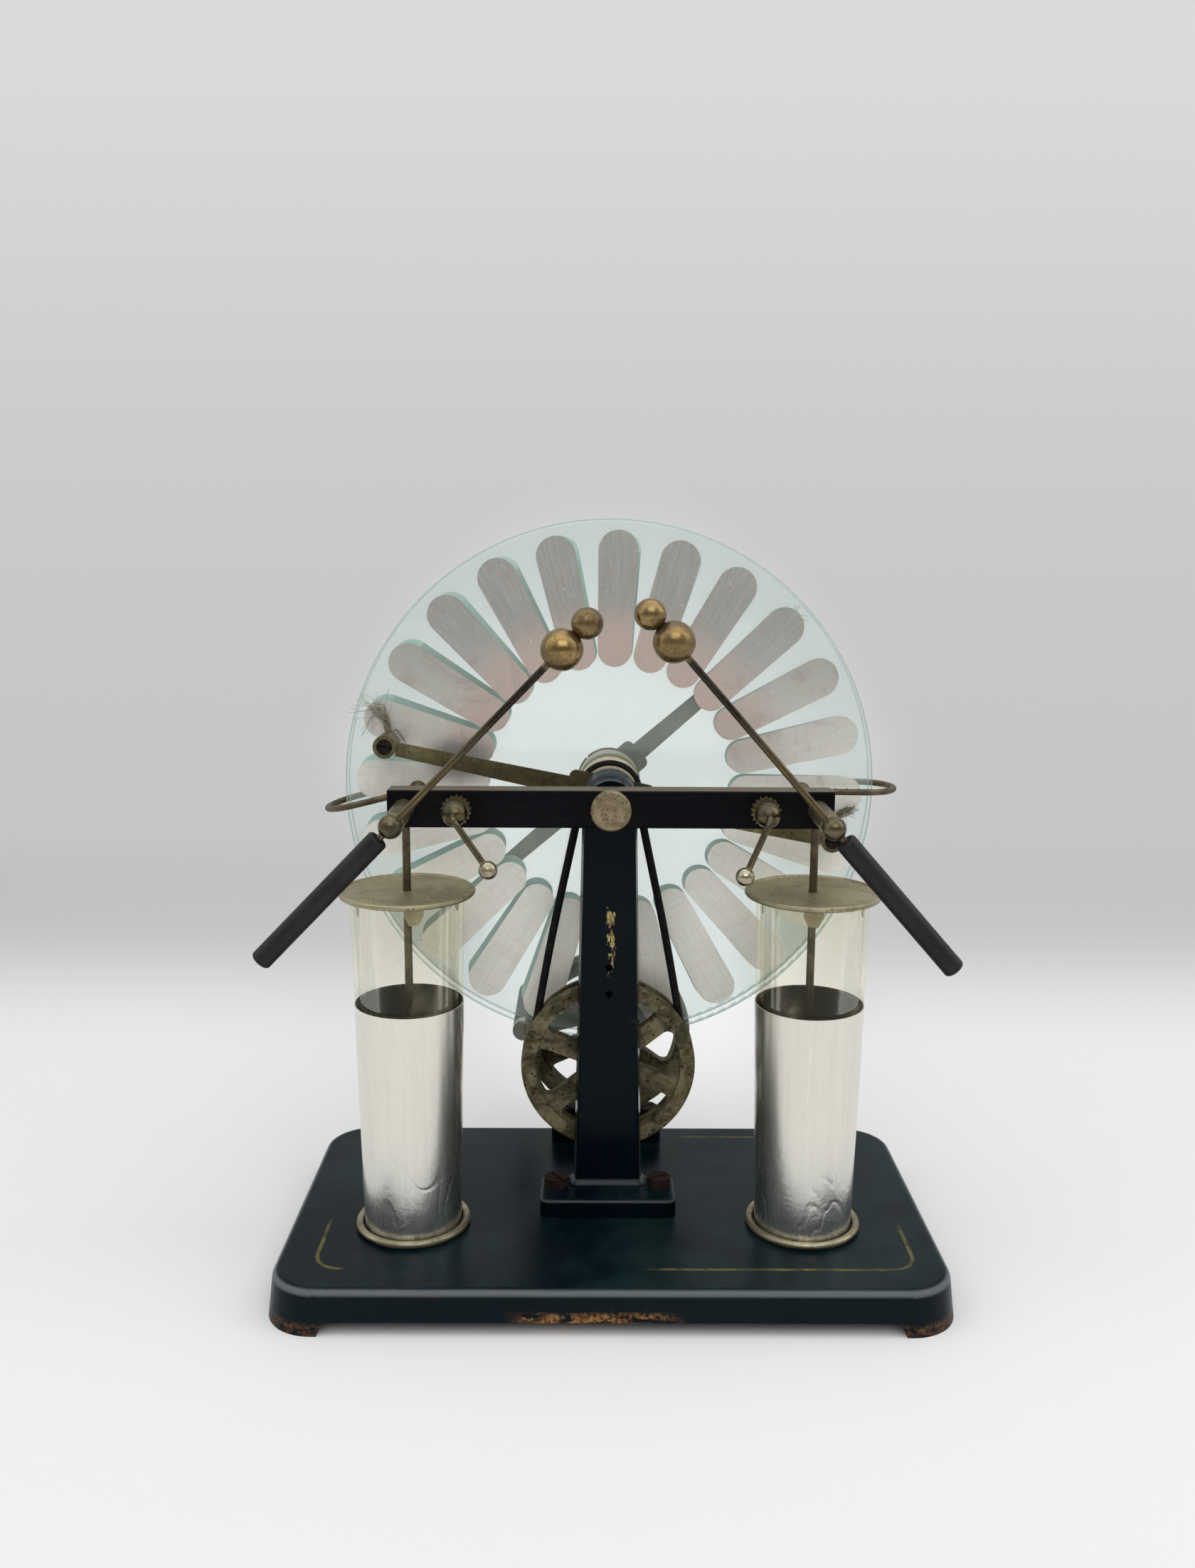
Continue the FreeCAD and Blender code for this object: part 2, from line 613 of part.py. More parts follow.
def sectors(end, towards):
    """Ring of thin foil tongues on the outer face of a disc, each with two round ends."""
    body = new_body(f"{end}_sectors")
    face = "disc_gap / 2 + disc_thickness"
    sketch = new_sketch(body, "XZ_Plane", face if towards == FRONT else f"-({face} + sector_thickness)")
    outer_radius, inner_radius = size("sector_outer_radius"), size("sector_inner_radius")
    outer_centre = Vector(0, size("sector_outer") - outer_radius, 0)
    inner_centre = Vector(0, size("sector_inner") + inner_radius, 0)
    normal = Vector(0, 0, 1)
    outer_round = Part.Circle(outer_centre, normal, outer_radius)
    inner_round = Part.Circle(inner_centre, normal, inner_radius)
    sketch.addGeometry(Part.ArcOfCircle(outer_round, 0, math.pi), False)
    sketch.addGeometry(Part.ArcOfCircle(inner_round, math.pi, 2 * math.pi), False)
    sideways = Vector(1, 0, 0)
    left_edge = (outer_centre - sideways * outer_radius, inner_centre - sideways * inner_radius)
    right_edge = (inner_centre + sideways * inner_radius, outer_centre + sideways * outer_radius)
    sketch.addGeometry(Part.LineSegment(*left_edge), False)
    sketch.addGeometry(Part.LineSegment(*right_edge), False)
    for first, second in ((0, 2), (2, 1), (1, 3), (3, 0)):
        sketch.addConstraint(Constraint("Tangent", first, 2, second, 1))
    for arc, centre, radius in ((0, "sector_outer - sector_outer_radius", "sector_outer_radius"),
                                (1, "sector_inner + sector_inner_radius", "sector_inner_radius")):
        fix_point(sketch, arc, 3, "0", centre)
        rule = sketch.addConstraint(Constraint("Radius", arc, size(radius)))
        sketch.setExpression(f"Constraints[{rule}]", cells(radius))
    tongue = pad(body, sketch, "sector_thickness")
    polar(body, tongue, "Y_Axis", "sector_count")
    place(body, z="axle_height", axis=(0, 1, 0), turn=f"{end}_sector_turn")


def hub(end, towards):
    """Boss, pulley groove and lip in one turning, with a spigot through the glass."""
    face = "disc_gap / 2 + disc_thickness"
    bore_radius = "axle_radius + running_clearance"
    waist = "belt_on_pulley - belt_radius / 2"
    body = turned(f"{end}_hub", [
        (bore_radius, "disc_gap / 2 - hub_nut_thickness"),
        ("hub_spigot_radius", "disc_gap / 2 - hub_nut_thickness"), ("hub_spigot_radius", face),
        ("hub_boss_radius", face),
        ("hub_boss_radius", "wheel_plane - belt_radius - groove_clearance"),
        ("belt_on_pulley", "wheel_plane - belt_radius - groove_clearance"), (waist, "wheel_plane"),
        ("hub_lip_radius", "wheel_plane + belt_radius - 0.4"), ("hub_lip_radius", "hub_end"),
        ("hub_recess_radius", "hub_end"), ("hub_recess_radius", "hub_end - hub_recess_depth"),
        (bore_radius, "hub_end - hub_recess_depth")])
    groove = new_sketch(body, "XZ_Plane")
    draw_circle(groove, "belt_radius + groove_clearance", "belt_on_pulley", "wheel_plane")
    revolve(body, groove, "PartDesign::Groove")
    place(body, z="axle_height", axis=(1, 0, 0), turn=f"{-90 * towards}")
    nut = turned(f"{end}_hub_nut", [
        ("hub_spigot_radius + running_clearance", "disc_gap / 2 - hub_nut_thickness"),
        ("hub_nut_radius", "disc_gap / 2 - hub_nut_thickness"), ("hub_nut_radius", "disc_gap / 2"),
        ("hub_spigot_radius + running_clearance", "disc_gap / 2")])
    place(nut, z="axle_height", axis=(1, 0, 0), turn=f"{-90 * towards}")


def drive_wheel(end, towards):
    """Spoked wheel: a turned blank with a belt groove, then one window cut and repeated."""
    bore_radius = "shaft_radius + running_clearance"
    rim = "wheel_radius - wheel_rim"
    body = turned(f"{end}_wheel", [
        (bore_radius, "-wheel_width / 2"), ("wheel_hub_radius", "-wheel_width / 2"),
        ("wheel_hub_radius", "-wheel_web / 2"), (rim, "-wheel_web / 2"), (rim, "-wheel_width / 2"),
        ("wheel_radius", "-wheel_width / 2"), ("wheel_radius", "wheel_width / 2"), (rim, "wheel_width / 2"),
        (rim, "wheel_web / 2"), ("wheel_hub_radius", "wheel_web / 2"),
        ("wheel_hub_radius", "wheel_width / 2"), (bore_radius, "wheel_width / 2")])
    half_groove = "belt_radius + groove_clearance"
    groove = new_sketch(body, "XZ_Plane")
    draw_circle(groove, half_groove, "belt_on_wheel", "0")
    revolve(body, groove, "PartDesign::Groove")
    mouth = new_sketch(body, "XZ_Plane")
    draw_outline(mouth, [("belt_on_wheel", f"-({half_groove})"), ("wheel_radius + 1", f"-({half_groove})"),
                         ("wheel_radius + 1", half_groove), ("belt_on_wheel", half_groove)])
    revolve(body, mouth, "PartDesign::Groove")

    window = new_sketch(body, "XY_Plane", "wheel_web / 2 + 1")
    window.AttachmentOffset = FreeCAD.Placement(Vector(), FreeCAD.Rotation(Vector(0, 0, 1), 1))
    window.setExpression("AttachmentOffset.Rotation.Angle", f"sizes.{end}_wheel_turn")
    step = math.radians(360 / size("wheel_spokes"))
    half, inner_round = size("wheel_spoke_width") / 2, size("wheel_window_round")
    reach = size("wheel_radius") - size("wheel_rim")
    lean = math.asin(half / reach)
    deep = (inner_round + half) / math.sin(step / 2)
    inner_centre = Vector(deep * math.cos(step / 2), deep * math.sin(step / 2), 0)
    normal = Vector(0, 0, 1)
    window.addGeometry(Part.ArcOfCircle(Part.Circle(Vector(), normal, reach), lean, step - lean), False)
    window.addGeometry(Part.ArcOfCircle(Part.Circle(inner_centre, normal, inner_round),
                                        math.pi / 2 + step, 3 * math.pi / 2), False)
    turn, across = "360 / wheel_spokes", "wheel_spoke_width / 2"
    outer_along = f"sqrt(({rim}) ^ 2 - ({across}) ^ 2)"
    inner_along = f"(wheel_window_round + {across}) / tan({turn} / 2)"
    for arc, radius, along, on_spoke, on_next in ((0, rim, outer_along, 1, 2),
                                                  (1, "wheel_window_round", inner_along, 2, 1)):
        rule = window.addConstraint(Constraint("Radius", arc, (reach, inner_round)[arc]))
        window.setExpression(f"Constraints[{rule}]", cells(radius))
        fix_point(window, arc, on_spoke, along, across)
        fix_point(window, arc, on_next, f"{along} * cos({turn}) + {across} * sin({turn})",
                  f"{along} * sin({turn}) - {across} * cos({turn})")
    for outer_point, inner_point in ((1, 2), (2, 1)):
        side = Part.LineSegment(Vector(10, outer_point, 0), Vector(30, outer_point, 0))
        line = window.addGeometry(side, False)
        window.addConstraint(Constraint("Coincident", line, 1, 1, inner_point))
        window.addConstraint(Constraint("Coincident", line, 2, 0, outer_point))
    opening = pocket(body, window, "wheel_web + 2")
    polar(body, opening, "Z_Axis", "wheel_spokes")
    doc.recompute()

    def outer_corner(edge):
        centre = edge.BoundBox.Center
        return parallel(edge, (0, 0, 1)) and math.hypot(centre.x, centre.y) > reach - 1 \
            and abs(edge.Length - size("wheel_web")) < 0.01
    round_edges(body, "wheel_fillet", outer_corner)
    rim_line = size("wheel_radius") - 0.01
    round_edges(body, "1", lambda edge: edge.BoundBox.XMax > rim_line
                and abs(abs(edge.BoundBox.Center.z) - size("wheel_width") / 2) < 0.01)
    place(body, y=f"{towards} * wheel_plane", z="wheel_height", axis=(1, 0, 0), turn="-90")


def tangent_route(points, bend):
    """Edges of a route: straight runs joined by tangent arcs of one radius."""
    edges = []
    start = points[0]
    for before, corner, after in zip(points, points[1:], points[2:]):
        back = (before - corner).normalize()
        ahead = (after - corner).normalize()
        half = math.acos(max(-1, min(1, back.dot(ahead)))) / 2
        reach = bend / math.tan(half)
        middle = corner + (back + ahead).normalize() * (bend / math.sin(half) - bend)
        first, last = corner + back * reach, corner + ahead * reach
        edges.append(Part.LineSegment(start, first).toShape())
        edges.append(Part.Arc(first, middle, last).toShape())
        start = last
    edges.append(Part.LineSegment(start, points[-1]).toShape())
    return edges


def belt(end, towards):
    """Round belt over a pulley and a wheel: the front one is open, the rear one crossed."""
    crossed = towards == REAR
    plane = towards * size("wheel_plane")
    top = Vector(0, plane, size("axle_height"))
    low = Vector(0, plane, size("wheel_height"))
    small, large = size("belt_on_pulley"), size("belt_on_wheel")
    lean = math.asin((large + small if crossed else large - small) / (top - low).Length)

    def rim_point(centre, radius, angle):
        return centre + Vector(radius * math.cos(angle), 0, radius * math.sin(angle))

    pulley_lean = -lean if crossed else lean
    pulley_right = rim_point(top, small, pulley_lean)
    pulley_left = rim_point(top, small, math.pi - pulley_lean)
    wheel_right = rim_point(low, large, lean)
    wheel_left = rim_point(low, large, math.pi - lean)
    bottom = rim_point(low, large, -math.pi / 2)
    if crossed:
        gap_angle = math.radians(135.6)
        half_gap = size("belt_joint_gap") / 2 / small
        cut_start = rim_point(top, small, gap_angle - half_gap)
        cut_end = rim_point(top, small, gap_angle + half_gap)
        summit = rim_point(top, small, math.pi / 2)
        flank = rim_point(top, small, (gap_angle + half_gap + math.pi + lean) / 2)
        sideways = Vector(0, size("belt_cross_offset"), 0)

        def strand(at_pulley, at_wheel, shift):
            along = (at_wheel - at_pulley).normalize()
            crossing = at_pulley + along * ((at_wheel - at_pulley).Length * small / (small + large))
            return [at_pulley, at_pulley + along * size("belt_pulley_lead"), crossing + shift,
                    at_wheel - along * size("belt_wheel_lead"), at_wheel]
        bend = 8 * size("belt_radius")
        edges = ([Part.Arc(cut_end, flank, pulley_left).toShape()]
                 + tangent_route(strand(pulley_left, wheel_right, sideways), bend)
                 + [Part.Arc(wheel_right, bottom, wheel_left).toShape()]
                 + tangent_route(strand(pulley_right, wheel_left, sideways * -1)[::-1], bend)
                 + [Part.Arc(pulley_right, summit, cut_start).toShape()])
        start = cut_end
        heading = (cut_end - top).cross(Vector(0, 1, 0))
    else:
        edges = [Part.Arc(pulley_right, rim_point(top, small, math.pi / 2), pulley_left).toShape(),
                 Part.LineSegment(pulley_left, wheel_left).toShape(),
                 Part.Arc(wheel_left, bottom, wheel_right).toShape(),
                 Part.LineSegment(wheel_right, pulley_right).toShape()]
        start = pulley_right
        heading = (pulley_right - top).cross(Vector(0, 1, 0))
    path = Part.Wire(edges)
    section = Part.Wire([Part.Circle(start, heading, size("belt_radius")).toShape()])
    loop = piece(doc.addObject("Part::Feature", f"{end}_belt"), f"{end}_belt")
    loop.Shape = Part.Solid(path.makePipeShell([section], True, False))
    expected = path.Length * math.pi * size("belt_radius") ** 2
    print(f"{end} belt volume against section times length: {loop.Shape.Volume / expected:.4f}")


def cross_bar():
    body = new_body("cross_bar")
    rear = "-head_end"
    front = "(-head_end - bar_thickness)"
    face = new_sketch(body, "XZ_Plane", "head_end")
    low, high = "axle_height - bar_height / 2", "axle_height + bar_height / 2"
    draw_outline(face, [("-bar_length / 2", low), ("bar_length / 2", low), ("bar_length / 2", high),
                        ("-bar_length / 2", high)])
    pad(body, face, "bar_thickness")
    round_edges(body, "bar_edge", lambda edge: True, "PartDesign::Chamfer")
    bore(body, "clamp_shank_radius + running_clearance", front, rear, z="axle_height")
    for side in (LEFT, RIGHT):
        for across in ("post_place", "arm_place"):
            bore(body, "stud_radius + running_clearance", front, rear, f"{side} * {across}", "axle_height")
    holes = new_sketch(body, "XY_Plane", low)
    for side in (LEFT, RIGHT):
        draw_circle(holes, "jar_rod_radius + running_clearance", f"{side} * post_place", "jar_place")
    pocket(body, holes, "jar_rod_depth", reverse=True)


def bar_clamp_screw():
    face = "-head_end - bar_thickness"
    screw = turned("bar_clamp_screw", [
        ("0", f"{face} - clamp_head_height"), ("clamp_head_radius - 0.6", f"{face} - clamp_head_height"),
        ("clamp_head_radius", f"{face} - clamp_head_height + 0.6"), ("clamp_head_radius", face),
        ("clamp_shank_radius", face), ("clamp_shank_radius", "-axle_end - 0.5"), ("0", "-axle_end - 0.5")])
    place(screw, z="axle_height", **REAR_FACING)


def electrode_post(name, side):
    """Boss in front of the bar, a stud through it to the fork, and the electrode's pin."""
    face = "-head_end - bar_thickness"
    ball_rear = "pivot_place + pivot_ball_radius"
    body = turned(f"{name}_post", [
        ("0", "pivot_place - 1"), ("pivot_pin_radius", "pivot_place - 1"),
        ("pivot_pin_radius", f"{ball_rear} + 0.3"),
        ("post_neck_radius", f"{ball_rear} + 0.3"), ("post_neck_radius", f"{ball_rear} + 1.3"),
        ("post_radius", f"{ball_rear} + 1.8"), ("post_radius", face), ("stud_radius", face),
        ("stud_radius", "-fork_leg - fork_ball_radius / 2"), ("0", "-fork_leg - fork_ball_radius / 2")])
    place(body, f"{side} * post_place", z="axle_height", **REAR_FACING)


def collector_fork(name, side):
    """Wire bent in a U round the edges of both discs, with points turned to the sectors."""
    straight = "fork_reach - fork_leg"
    solids = [sphere("fork_ball_radius", y="-fork_leg"),
              sphere("fork_wire_radius", y="fork_leg"),
              torus("fork_leg", "fork_wire_radius", "180", x=f"{side} * ({straight})", turn=f"{-90 * side}")]
    for leg in (FRONT, REAR):
        solids.append(cylinder("fork_wire_radius", straight, y=f"{leg} * fork_leg", axis=(0, 1, 0),
                               turn=f"{90 * side}"))
        point = "fork_leg - (disc_gap / 2 + disc_thickness + sector_thickness) - fork_pin_gap"
        for number in range(int(size("fork_pins"))):
            along = f"{side} * (fork_pin_spacing * {number} + 6.5)"
            solids.append(cylinder("fork_pin_radius", point, x=along, y=f"{leg} * fork_leg", axis=(1, 0, 0),
                                   turn=f"{90 * leg}"))
    seat = cylinder("stud_radius + running_clearance", "fork_ball_radius", axis=(1, 0, 0), turn="90",
                    y="-fork_leg - fork_ball_radius / 2")
    fork = piece(cut(fused(solids), seat), f"{name}_fork")
    place(fork, f"{side} * post_place", z="axle_height", axis=(0, 1, 0), turn=f"{side} * {name}_fork_droop")


def terminal_collar(name, side):
    """Scalloped collar with the stud that its contact arm turns on."""
    face = "head_end + bar_thickness"
    body = turned(f"{name}_collar", [
        ("0", "head_end + 1"), ("stud_radius", "head_end + 1"), ("stud_radius", face),
        ("collar_radius", face),
        ("collar_radius", f"{face} + collar_thickness"), ("pivot_pin_radius", f"{face} + collar_thickness"),
        ("pivot_pin_radius", f"{face} + collar_thickness + knob_ball_radius"),
        ("0", f"{face} + collar_thickness + knob_ball_radius")])
    notch = new_sketch(body, "XY_Plane", face)
    draw_circle(notch, "collar_notch_radius", "collar_radius")
    scallop = pocket(body, notch, "collar_thickness", reverse=True)
    polar(body, scallop, "Z_Axis", "collar_notches")
    place(body, f"{side} * arm_place", z="axle_height", axis=(1, 0, 0), turn="90")


def contact_arm(name, side, turn):
    """Knob ball, bent wire and end ball; the wire's far part lies along the piece's own X."""
    out = "arm_stand_off"
    stub = cylinder("arm_wire_radius", f"{out} - arm_bend_radius", axis=(1, 0, 0), turn="90")
    bend = torus("arm_bend_radius", "arm_wire_radius", "90", x="arm_bend_radius",
                 y=f"-({out} - arm_bend_radius)", turn="180")
    wire = cylinder("arm_wire_radius", "arm_reach - arm_bend_radius", x="arm_bend_radius", y=f"-{out}",
                    axis=(0, 1, 0), turn="90")
    end_ball = sphere("arm_ball_radius", x="arm_reach", y=f"-{out}")
    solids = [sphere("knob_ball_radius"), stub, bend, wire, end_ball]
    seat = cylinder("pivot_pin_radius + running_clearance", "knob_ball_radius + 1", y="knob_ball_radius",
                    axis=(1, 0, 0), turn="90")
    arm = piece(cut(fused(solids), seat), f"{name}_contact_arm")
    depth = "-(head_end + bar_thickness + collar_thickness + knob_ball_radius + 0.3)"
    place(arm, f"{side} * arm_place", depth, "axle_height", axis=(0, 1, 0), turn=turn)


def electrode(name, side):
    """Pivot ball, rod and two discharge balls in line, with a threaded neck for the handle."""
    # the reach at which the two small balls stand one spark gap apart
    spread = "(cos(left_elevation) + cos(right_elevation))"
    rise = "(sin(right_elevation) - sin(left_elevation))"
    both, apart = f"({spread} ^ 2 + {rise} ^ 2)", "(spark_gap + 2 * small_ball_radius)"
    across = f"(2 * post_place * {spread})"
    reach = f"(({across} - sqrt({across} ^ 2 - {both} * (4 * post_place ^ 2 - {apart} ^ 2))) / {both})"
    rod = cylinder("rod_radius", f"{reach} + handle_thread", z="-handle_thread")
    solids = [sphere("pivot_ball_radius"), rod, sphere("large_ball_radius", z=f"{reach} - ball_step"),
              sphere("small_ball_radius", z=reach)]
    seat = cylinder("pivot_pin_radius + running_clearance", "pivot_ball_radius + 1.5", y="pivot_ball_radius",
                    axis=(1, 0, 0), turn="90")
    arm = piece(cut(fused(solids), seat), f"{name}_electrode")
    handle = turned(f"{name}_handle", [
        ("0", "-handle_reach"), ("handle_radius", "-handle_reach"), ("handle_radius", "-handle_start"),
        ("rod_radius + running_clearance", "-handle_start"),
        ("rod_radius + running_clearance", "-handle_thread - 0.5"), ("0", "-handle_thread - 0.5")])
    edge_line = size("handle_radius") - 0.01
    round_edges(handle, "handle_edge", lambda edge: isinstance(edge.Curve, Part.Circle)
                and edge.Curve.Radius > edge_line)
    for thing in (arm, handle):
        place(thing, f"{side} * post_place", "pivot_place", "axle_height", axis=(0, 1, 0),
              turn=f"{-side} * (90 - {name}_elevation)")


def neutralizer(end, towards):
    """Flat bar with a hub plate, and a brush holder with its screw and tuft at each end."""
    body = new_body(f"{end}_neutralizer")
    tip = "(holder_reach - holder_radius)"
    half_plate, half_width = "plate_length / 2", "plate_width / 2"
    right = [(half_plate, "-strip_root_width / 2"), (tip, "-strip_end_width / 2"),
             (tip, "strip_end_width / 2"), (half_plate, "strip_root_width / 2"), (half_plate, half_width)]
    left = [("-" + x, y) for x, y in right]
    rear_plane = f"{towards} * strip_plane + strip_thickness / 2"
    face = new_sketch(body, "XZ_Plane", f"-({rear_plane})")
    first, last = (half_plate, f"-{half_width}"), ("-" + half_plate, f"-{half_width}")
    draw_outline(face, [first] + right + left[::-1] + [last])
    pad(body, face, "strip_thickness")
    half = size("plate_length") / 2
    corner = size("plate_width") / 2

    def shoulder(edge):
        centre = edge.BoundBox.Center
        return parallel(edge, (0, 1, 0)) and abs(abs(centre.x) - half) + abs(abs(centre.z) - corner) < 0.01
    round_edges(body, "plate_corner", shoulder)
    bore(body, "spigot_radius + running_clearance", f"{rear_plane} - strip_thickness", rear_plane)
    bore(body, "plate_hole_radius", f"{rear_plane} - strip_thickness", rear_plane,
         "-plate_hole_along", "plate_hole_across")

    holders, screws, tufts = [], [], []
    outward = f"{-90 * towards}"
    for side in (LEFT, RIGHT):
        across = f"{side} * holder_reach"
        tube = cylinder("holder_radius", "holder_far - holder_near", z="holder_near")
        recess = cylinder("holder_recess_radius", "holder_recess_depth + 1",
                          z="holder_far - holder_recess_depth")
        holder = cut(tube, recess)
        disc = cylinder("brush_screw_radius", "brush_screw_thickness", z="holder_far - holder_recess_depth")
        slot = box("2 * brush_screw_radius", "screw_slot_width", "brush_slot_depth",
                   x="-brush_screw_radius", y="-screw_slot_width / 2",
                   z="holder_far - holder_recess_depth + brush_screw_thickness - brush_slot_depth")
        screw = cut(disc, slot)
        tuft = doc.addObject("Part::Cone", "tuft")
        surface = "disc_gap / 2 + disc_thickness + sector_thickness + brush_gap"
        bind(tuft, Radius1="brush_tip_radius", Radius2="brush_radius", Height=f"holder_near - ({surface})")
        place(tuft, z=surface)
        tuft_seat = grouped([tuft])
        for thing, group in ((holder, holders), (screw, screws), (tuft_seat, tufts)):
            place(thing, across, axis=(1, 0, 0), turn=outward)
            group.append(thing)
    for things, label in ((holders, f"{end}_brush_holders"), (screws, f"{end}_brush_screws"),
                          (tufts, f"{end}_brushes")):
        place(piece(grouped(things), label), z="axle_height", axis=(0, 1, 0), turn=f"{end}_tilt")
    place(body, z="axle_height", axis=(0, 1, 0), turn=f"{end}_tilt")


def jar_radius(height):
    """Outer radius of the tapered jar at a height above the base."""
    return f"(jar_foot_radius + ({height}) * (jar_mouth_radius - jar_foot_radius) / jar_height)"


def jar_set(name, side):
    """Glass jar, its two coatings, the ring round its foot, and the rod with its contact leaf."""
    across = f"{side} * post_place"
    jar = turned(f"{name}_jar", [
        ("0", "0"), (jar_radius("0"), "0"), (jar_radius("jar_height"), "jar_height"),
        (jar_radius("jar_height") + " - jar_wall", "jar_height"),
        (jar_radius("jar_floor") + " - jar_wall", "jar_floor"), ("0", "jar_floor")])
    outer = [("coating_clearance", "coating_start"), ("coating_clearance", "coating_top"),
             ("coating_clearance + coating_thickness", "coating_top"),
             ("coating_clearance + coating_thickness", "coating_start")]
    inner = [("-jar_wall - coating_clearance", "jar_floor + coating_clearance"),
             ("-jar_wall - coating_clearance", "coating_top"),
             ("-jar_wall - coating_clearance - coating_thickness", "coating_top"),
             ("-jar_wall - coating_clearance - coating_thickness", "jar_floor + coating_clearance")]
    coatings = [turned(f"{name}_{which}_coating", [(f"{jar_radius(height)} + ({shift})", height)
                                                  for shift, height in corners])
                for which, corners in (("outer", outer), ("inner", inner))]
    for thing in [jar] + coatings:
        place(thing, across, "jar_place", "base_height")
    ring = piece(torus("ring_radius", "ring_wire_radius"), f"{name}_ring")
    place(ring, across, "jar_place", "base_height + ring_wire_radius")
    top = "axle_height - bar_height / 2 + jar_rod_depth - base_height"
    rod = turned(f"{name}_jar_rod", [("0", "jar_rod_end"), ("jar_rod_radius", "jar_rod_end"),
                                     ("jar_rod_radius", top), ("0", top)])
    place(rod, across, "jar_place", "base_height")
    glass = jar_radius("jar_rod_end - leaf_thickness")
    reach = f"({glass} - jar_wall - coating_clearance - coating_thickness - 0.3)"
    leaf = piece(box(f"2 * {reach}", "leaf_width", "leaf_thickness"), f"{name}_contact_leaf")
    place(leaf, f"{across} - {reach}", "jar_place - leaf_width / 2",
          "base_height + jar_rod_end - leaf_thickness")


def lid(name, side):
    """Flat lid with a rolled rim and tabs that centre it in the jar's mouth."""
    hole = "jar_rod_radius + lid_hole_clearance"
    body = turned(f"{name}_lid", [
        (hole, "0"), ("lid_radius - lid_rim_radius", "0"), ("lid_radius - lid_rim_radius", "lid_thickness"),
        (hole, "lid_thickness")])
    rim = new_sketch(body, "XZ_Plane")
    draw_circle(rim, "lid_rim_radius", "lid_radius - lid_rim_radius", "lid_thickness / 2")
    revolve(body, rim)
    tab_face = f"{jar_radius('jar_height - tab_length')} - jar_wall - tab_clearance"
    tab = new_sketch(body, "YZ_Plane", tab_face)
    half = "tab_width / 2"
    draw_outline(tab, [(f"-{half}", "lid_thickness / 2"), (f"-{half}", "-tab_length + tab_width / 2"),
                       ("-tab_width / 4", "-tab_length"), ("tab_width / 4", "-tab_length"),
                       (half, "-tab_length + tab_width / 2"), (half, "lid_thickness / 2")])
    tongue = pad(body, tab, "lid_thickness / 2")
    tongue.Reversed = True
    polar(body, tongue, "Z_Axis", "tab_count")
    place(body, f"{side} * post_place", "jar_place", "base_height + jar_height + lid_gap",
          turn=f"{name}_lid_turn")


def drive_shaft():
    shaft = turned("drive_shaft", [
        ("0", "-column_near - shaft_depth"), ("shaft_radius", "-column_near - shaft_depth"),
        ("shaft_radius", "crank_plane"), ("crank_seat_radius", "crank_plane"),
        ("crank_seat_radius", "crank_plane + crank_thickness"), ("0", "crank_plane + crank_thickness")])
    place(shaft, z="wheel_height", **REAR_FACING)


def crank():
    """Flat arm on the shaft's end, the pin in it, and the grip that spins on the pin."""
    arm = new_body("crank_arm")
    far = "crank_plane + crank_thickness"
    boss(arm, "crank_hub_radius", "crank_plane", far)
    bar = new_sketch(arm, "XZ_Plane", f"-({far})")
    half = "crank_width / 2"
    draw_outline(bar, [("0", f"-{half}"), ("crank_reach", f"-{half}"), ("crank_reach", half), ("0", half)])
    pad(arm, bar, "crank_thickness")
    boss(arm, "crank_end_radius", "crank_plane", far, "crank_reach")
    bore(arm, "crank_seat_radius + running_clearance", "crank_plane", far)
    bore(arm, "grip_pin_radius + running_clearance", "crank_plane", far, "crank_reach")
    place(arm, z="wheel_height", axis=(0, 1, 0), turn="crank_turn")
    pin = turned("grip_pin", [("0", "crank_plane"), ("grip_pin_radius", "crank_plane"),
                              ("grip_pin_radius", "grip_pin_end"), ("0", "grip_pin_end")])
    grip = turned("crank_grip", [
        ("grip_pin_radius + running_clearance", "grip_start"), ("grip_radius", "grip_start"),
        ("grip_radius", "grip_end"), ("0", "grip_end"), ("0", "grip_pin_end + 0.5"),
        ("grip_pin_radius + running_clearance", "grip_pin_end + 0.5")])
    far_end = size("grip_end")
    round_edges(grip, "grip_edge", lambda edge: isinstance(edge.Curve, Part.Circle)
                and abs(edge.BoundBox.Center.z - far_end) < 0.01)
    for thing in (pin, grip):
        place(thing, "crank_reach * cos(crank_turn)", "0", "wheel_height - crank_reach * sin(crank_turn)",
              **REAR_FACING)


base_casting()
for end, towards in ENDS:
    standard(end, towards)
    glass_disc(end, towards)
    sectors(end, towards)
    hub(end, towards)
    drive_wheel(end, towards)
    belt(end, towards)
    neutralizer(end, towards)
standard_screws()
fixed_axle()
cross_bar()
bar_clamp_screw()
for name, side in SIDES:
    electrode_post(name, side)
    collector_fork(name, side)
    terminal_collar(name, side)
    electrode(name, side)
    jar_set(name, side)
    lid(name, side)
contact_arm("left", LEFT, "left_arm_drop")
contact_arm("right", RIGHT, "right_arm_drop")
drive_shaft()
crank()
doc.recompute()

# Check every object before anything is written
for thing in doc.Objects:
    if "Invalid" in thing.State or "Error" in thing.State:
        raise RuntimeError(f"{thing.Label} failed: {thing.State}")
for thing in PIECES:
    if thing.Shape.isNull() or not thing.Shape.isValid() or not thing.Shape.Solids:
        raise RuntimeError(f"{thing.Label} has no valid solid")

os.makedirs("parts", exist_ok=True)
for thing in PIECES:
    thing.Shape.exportStep(f"parts/{thing.Label}.step")
print(f"wrote {len(PIECES)} pieces")
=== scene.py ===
import json
import math
import random

import bmesh
import bpy
from mathutils import Matrix, Vector


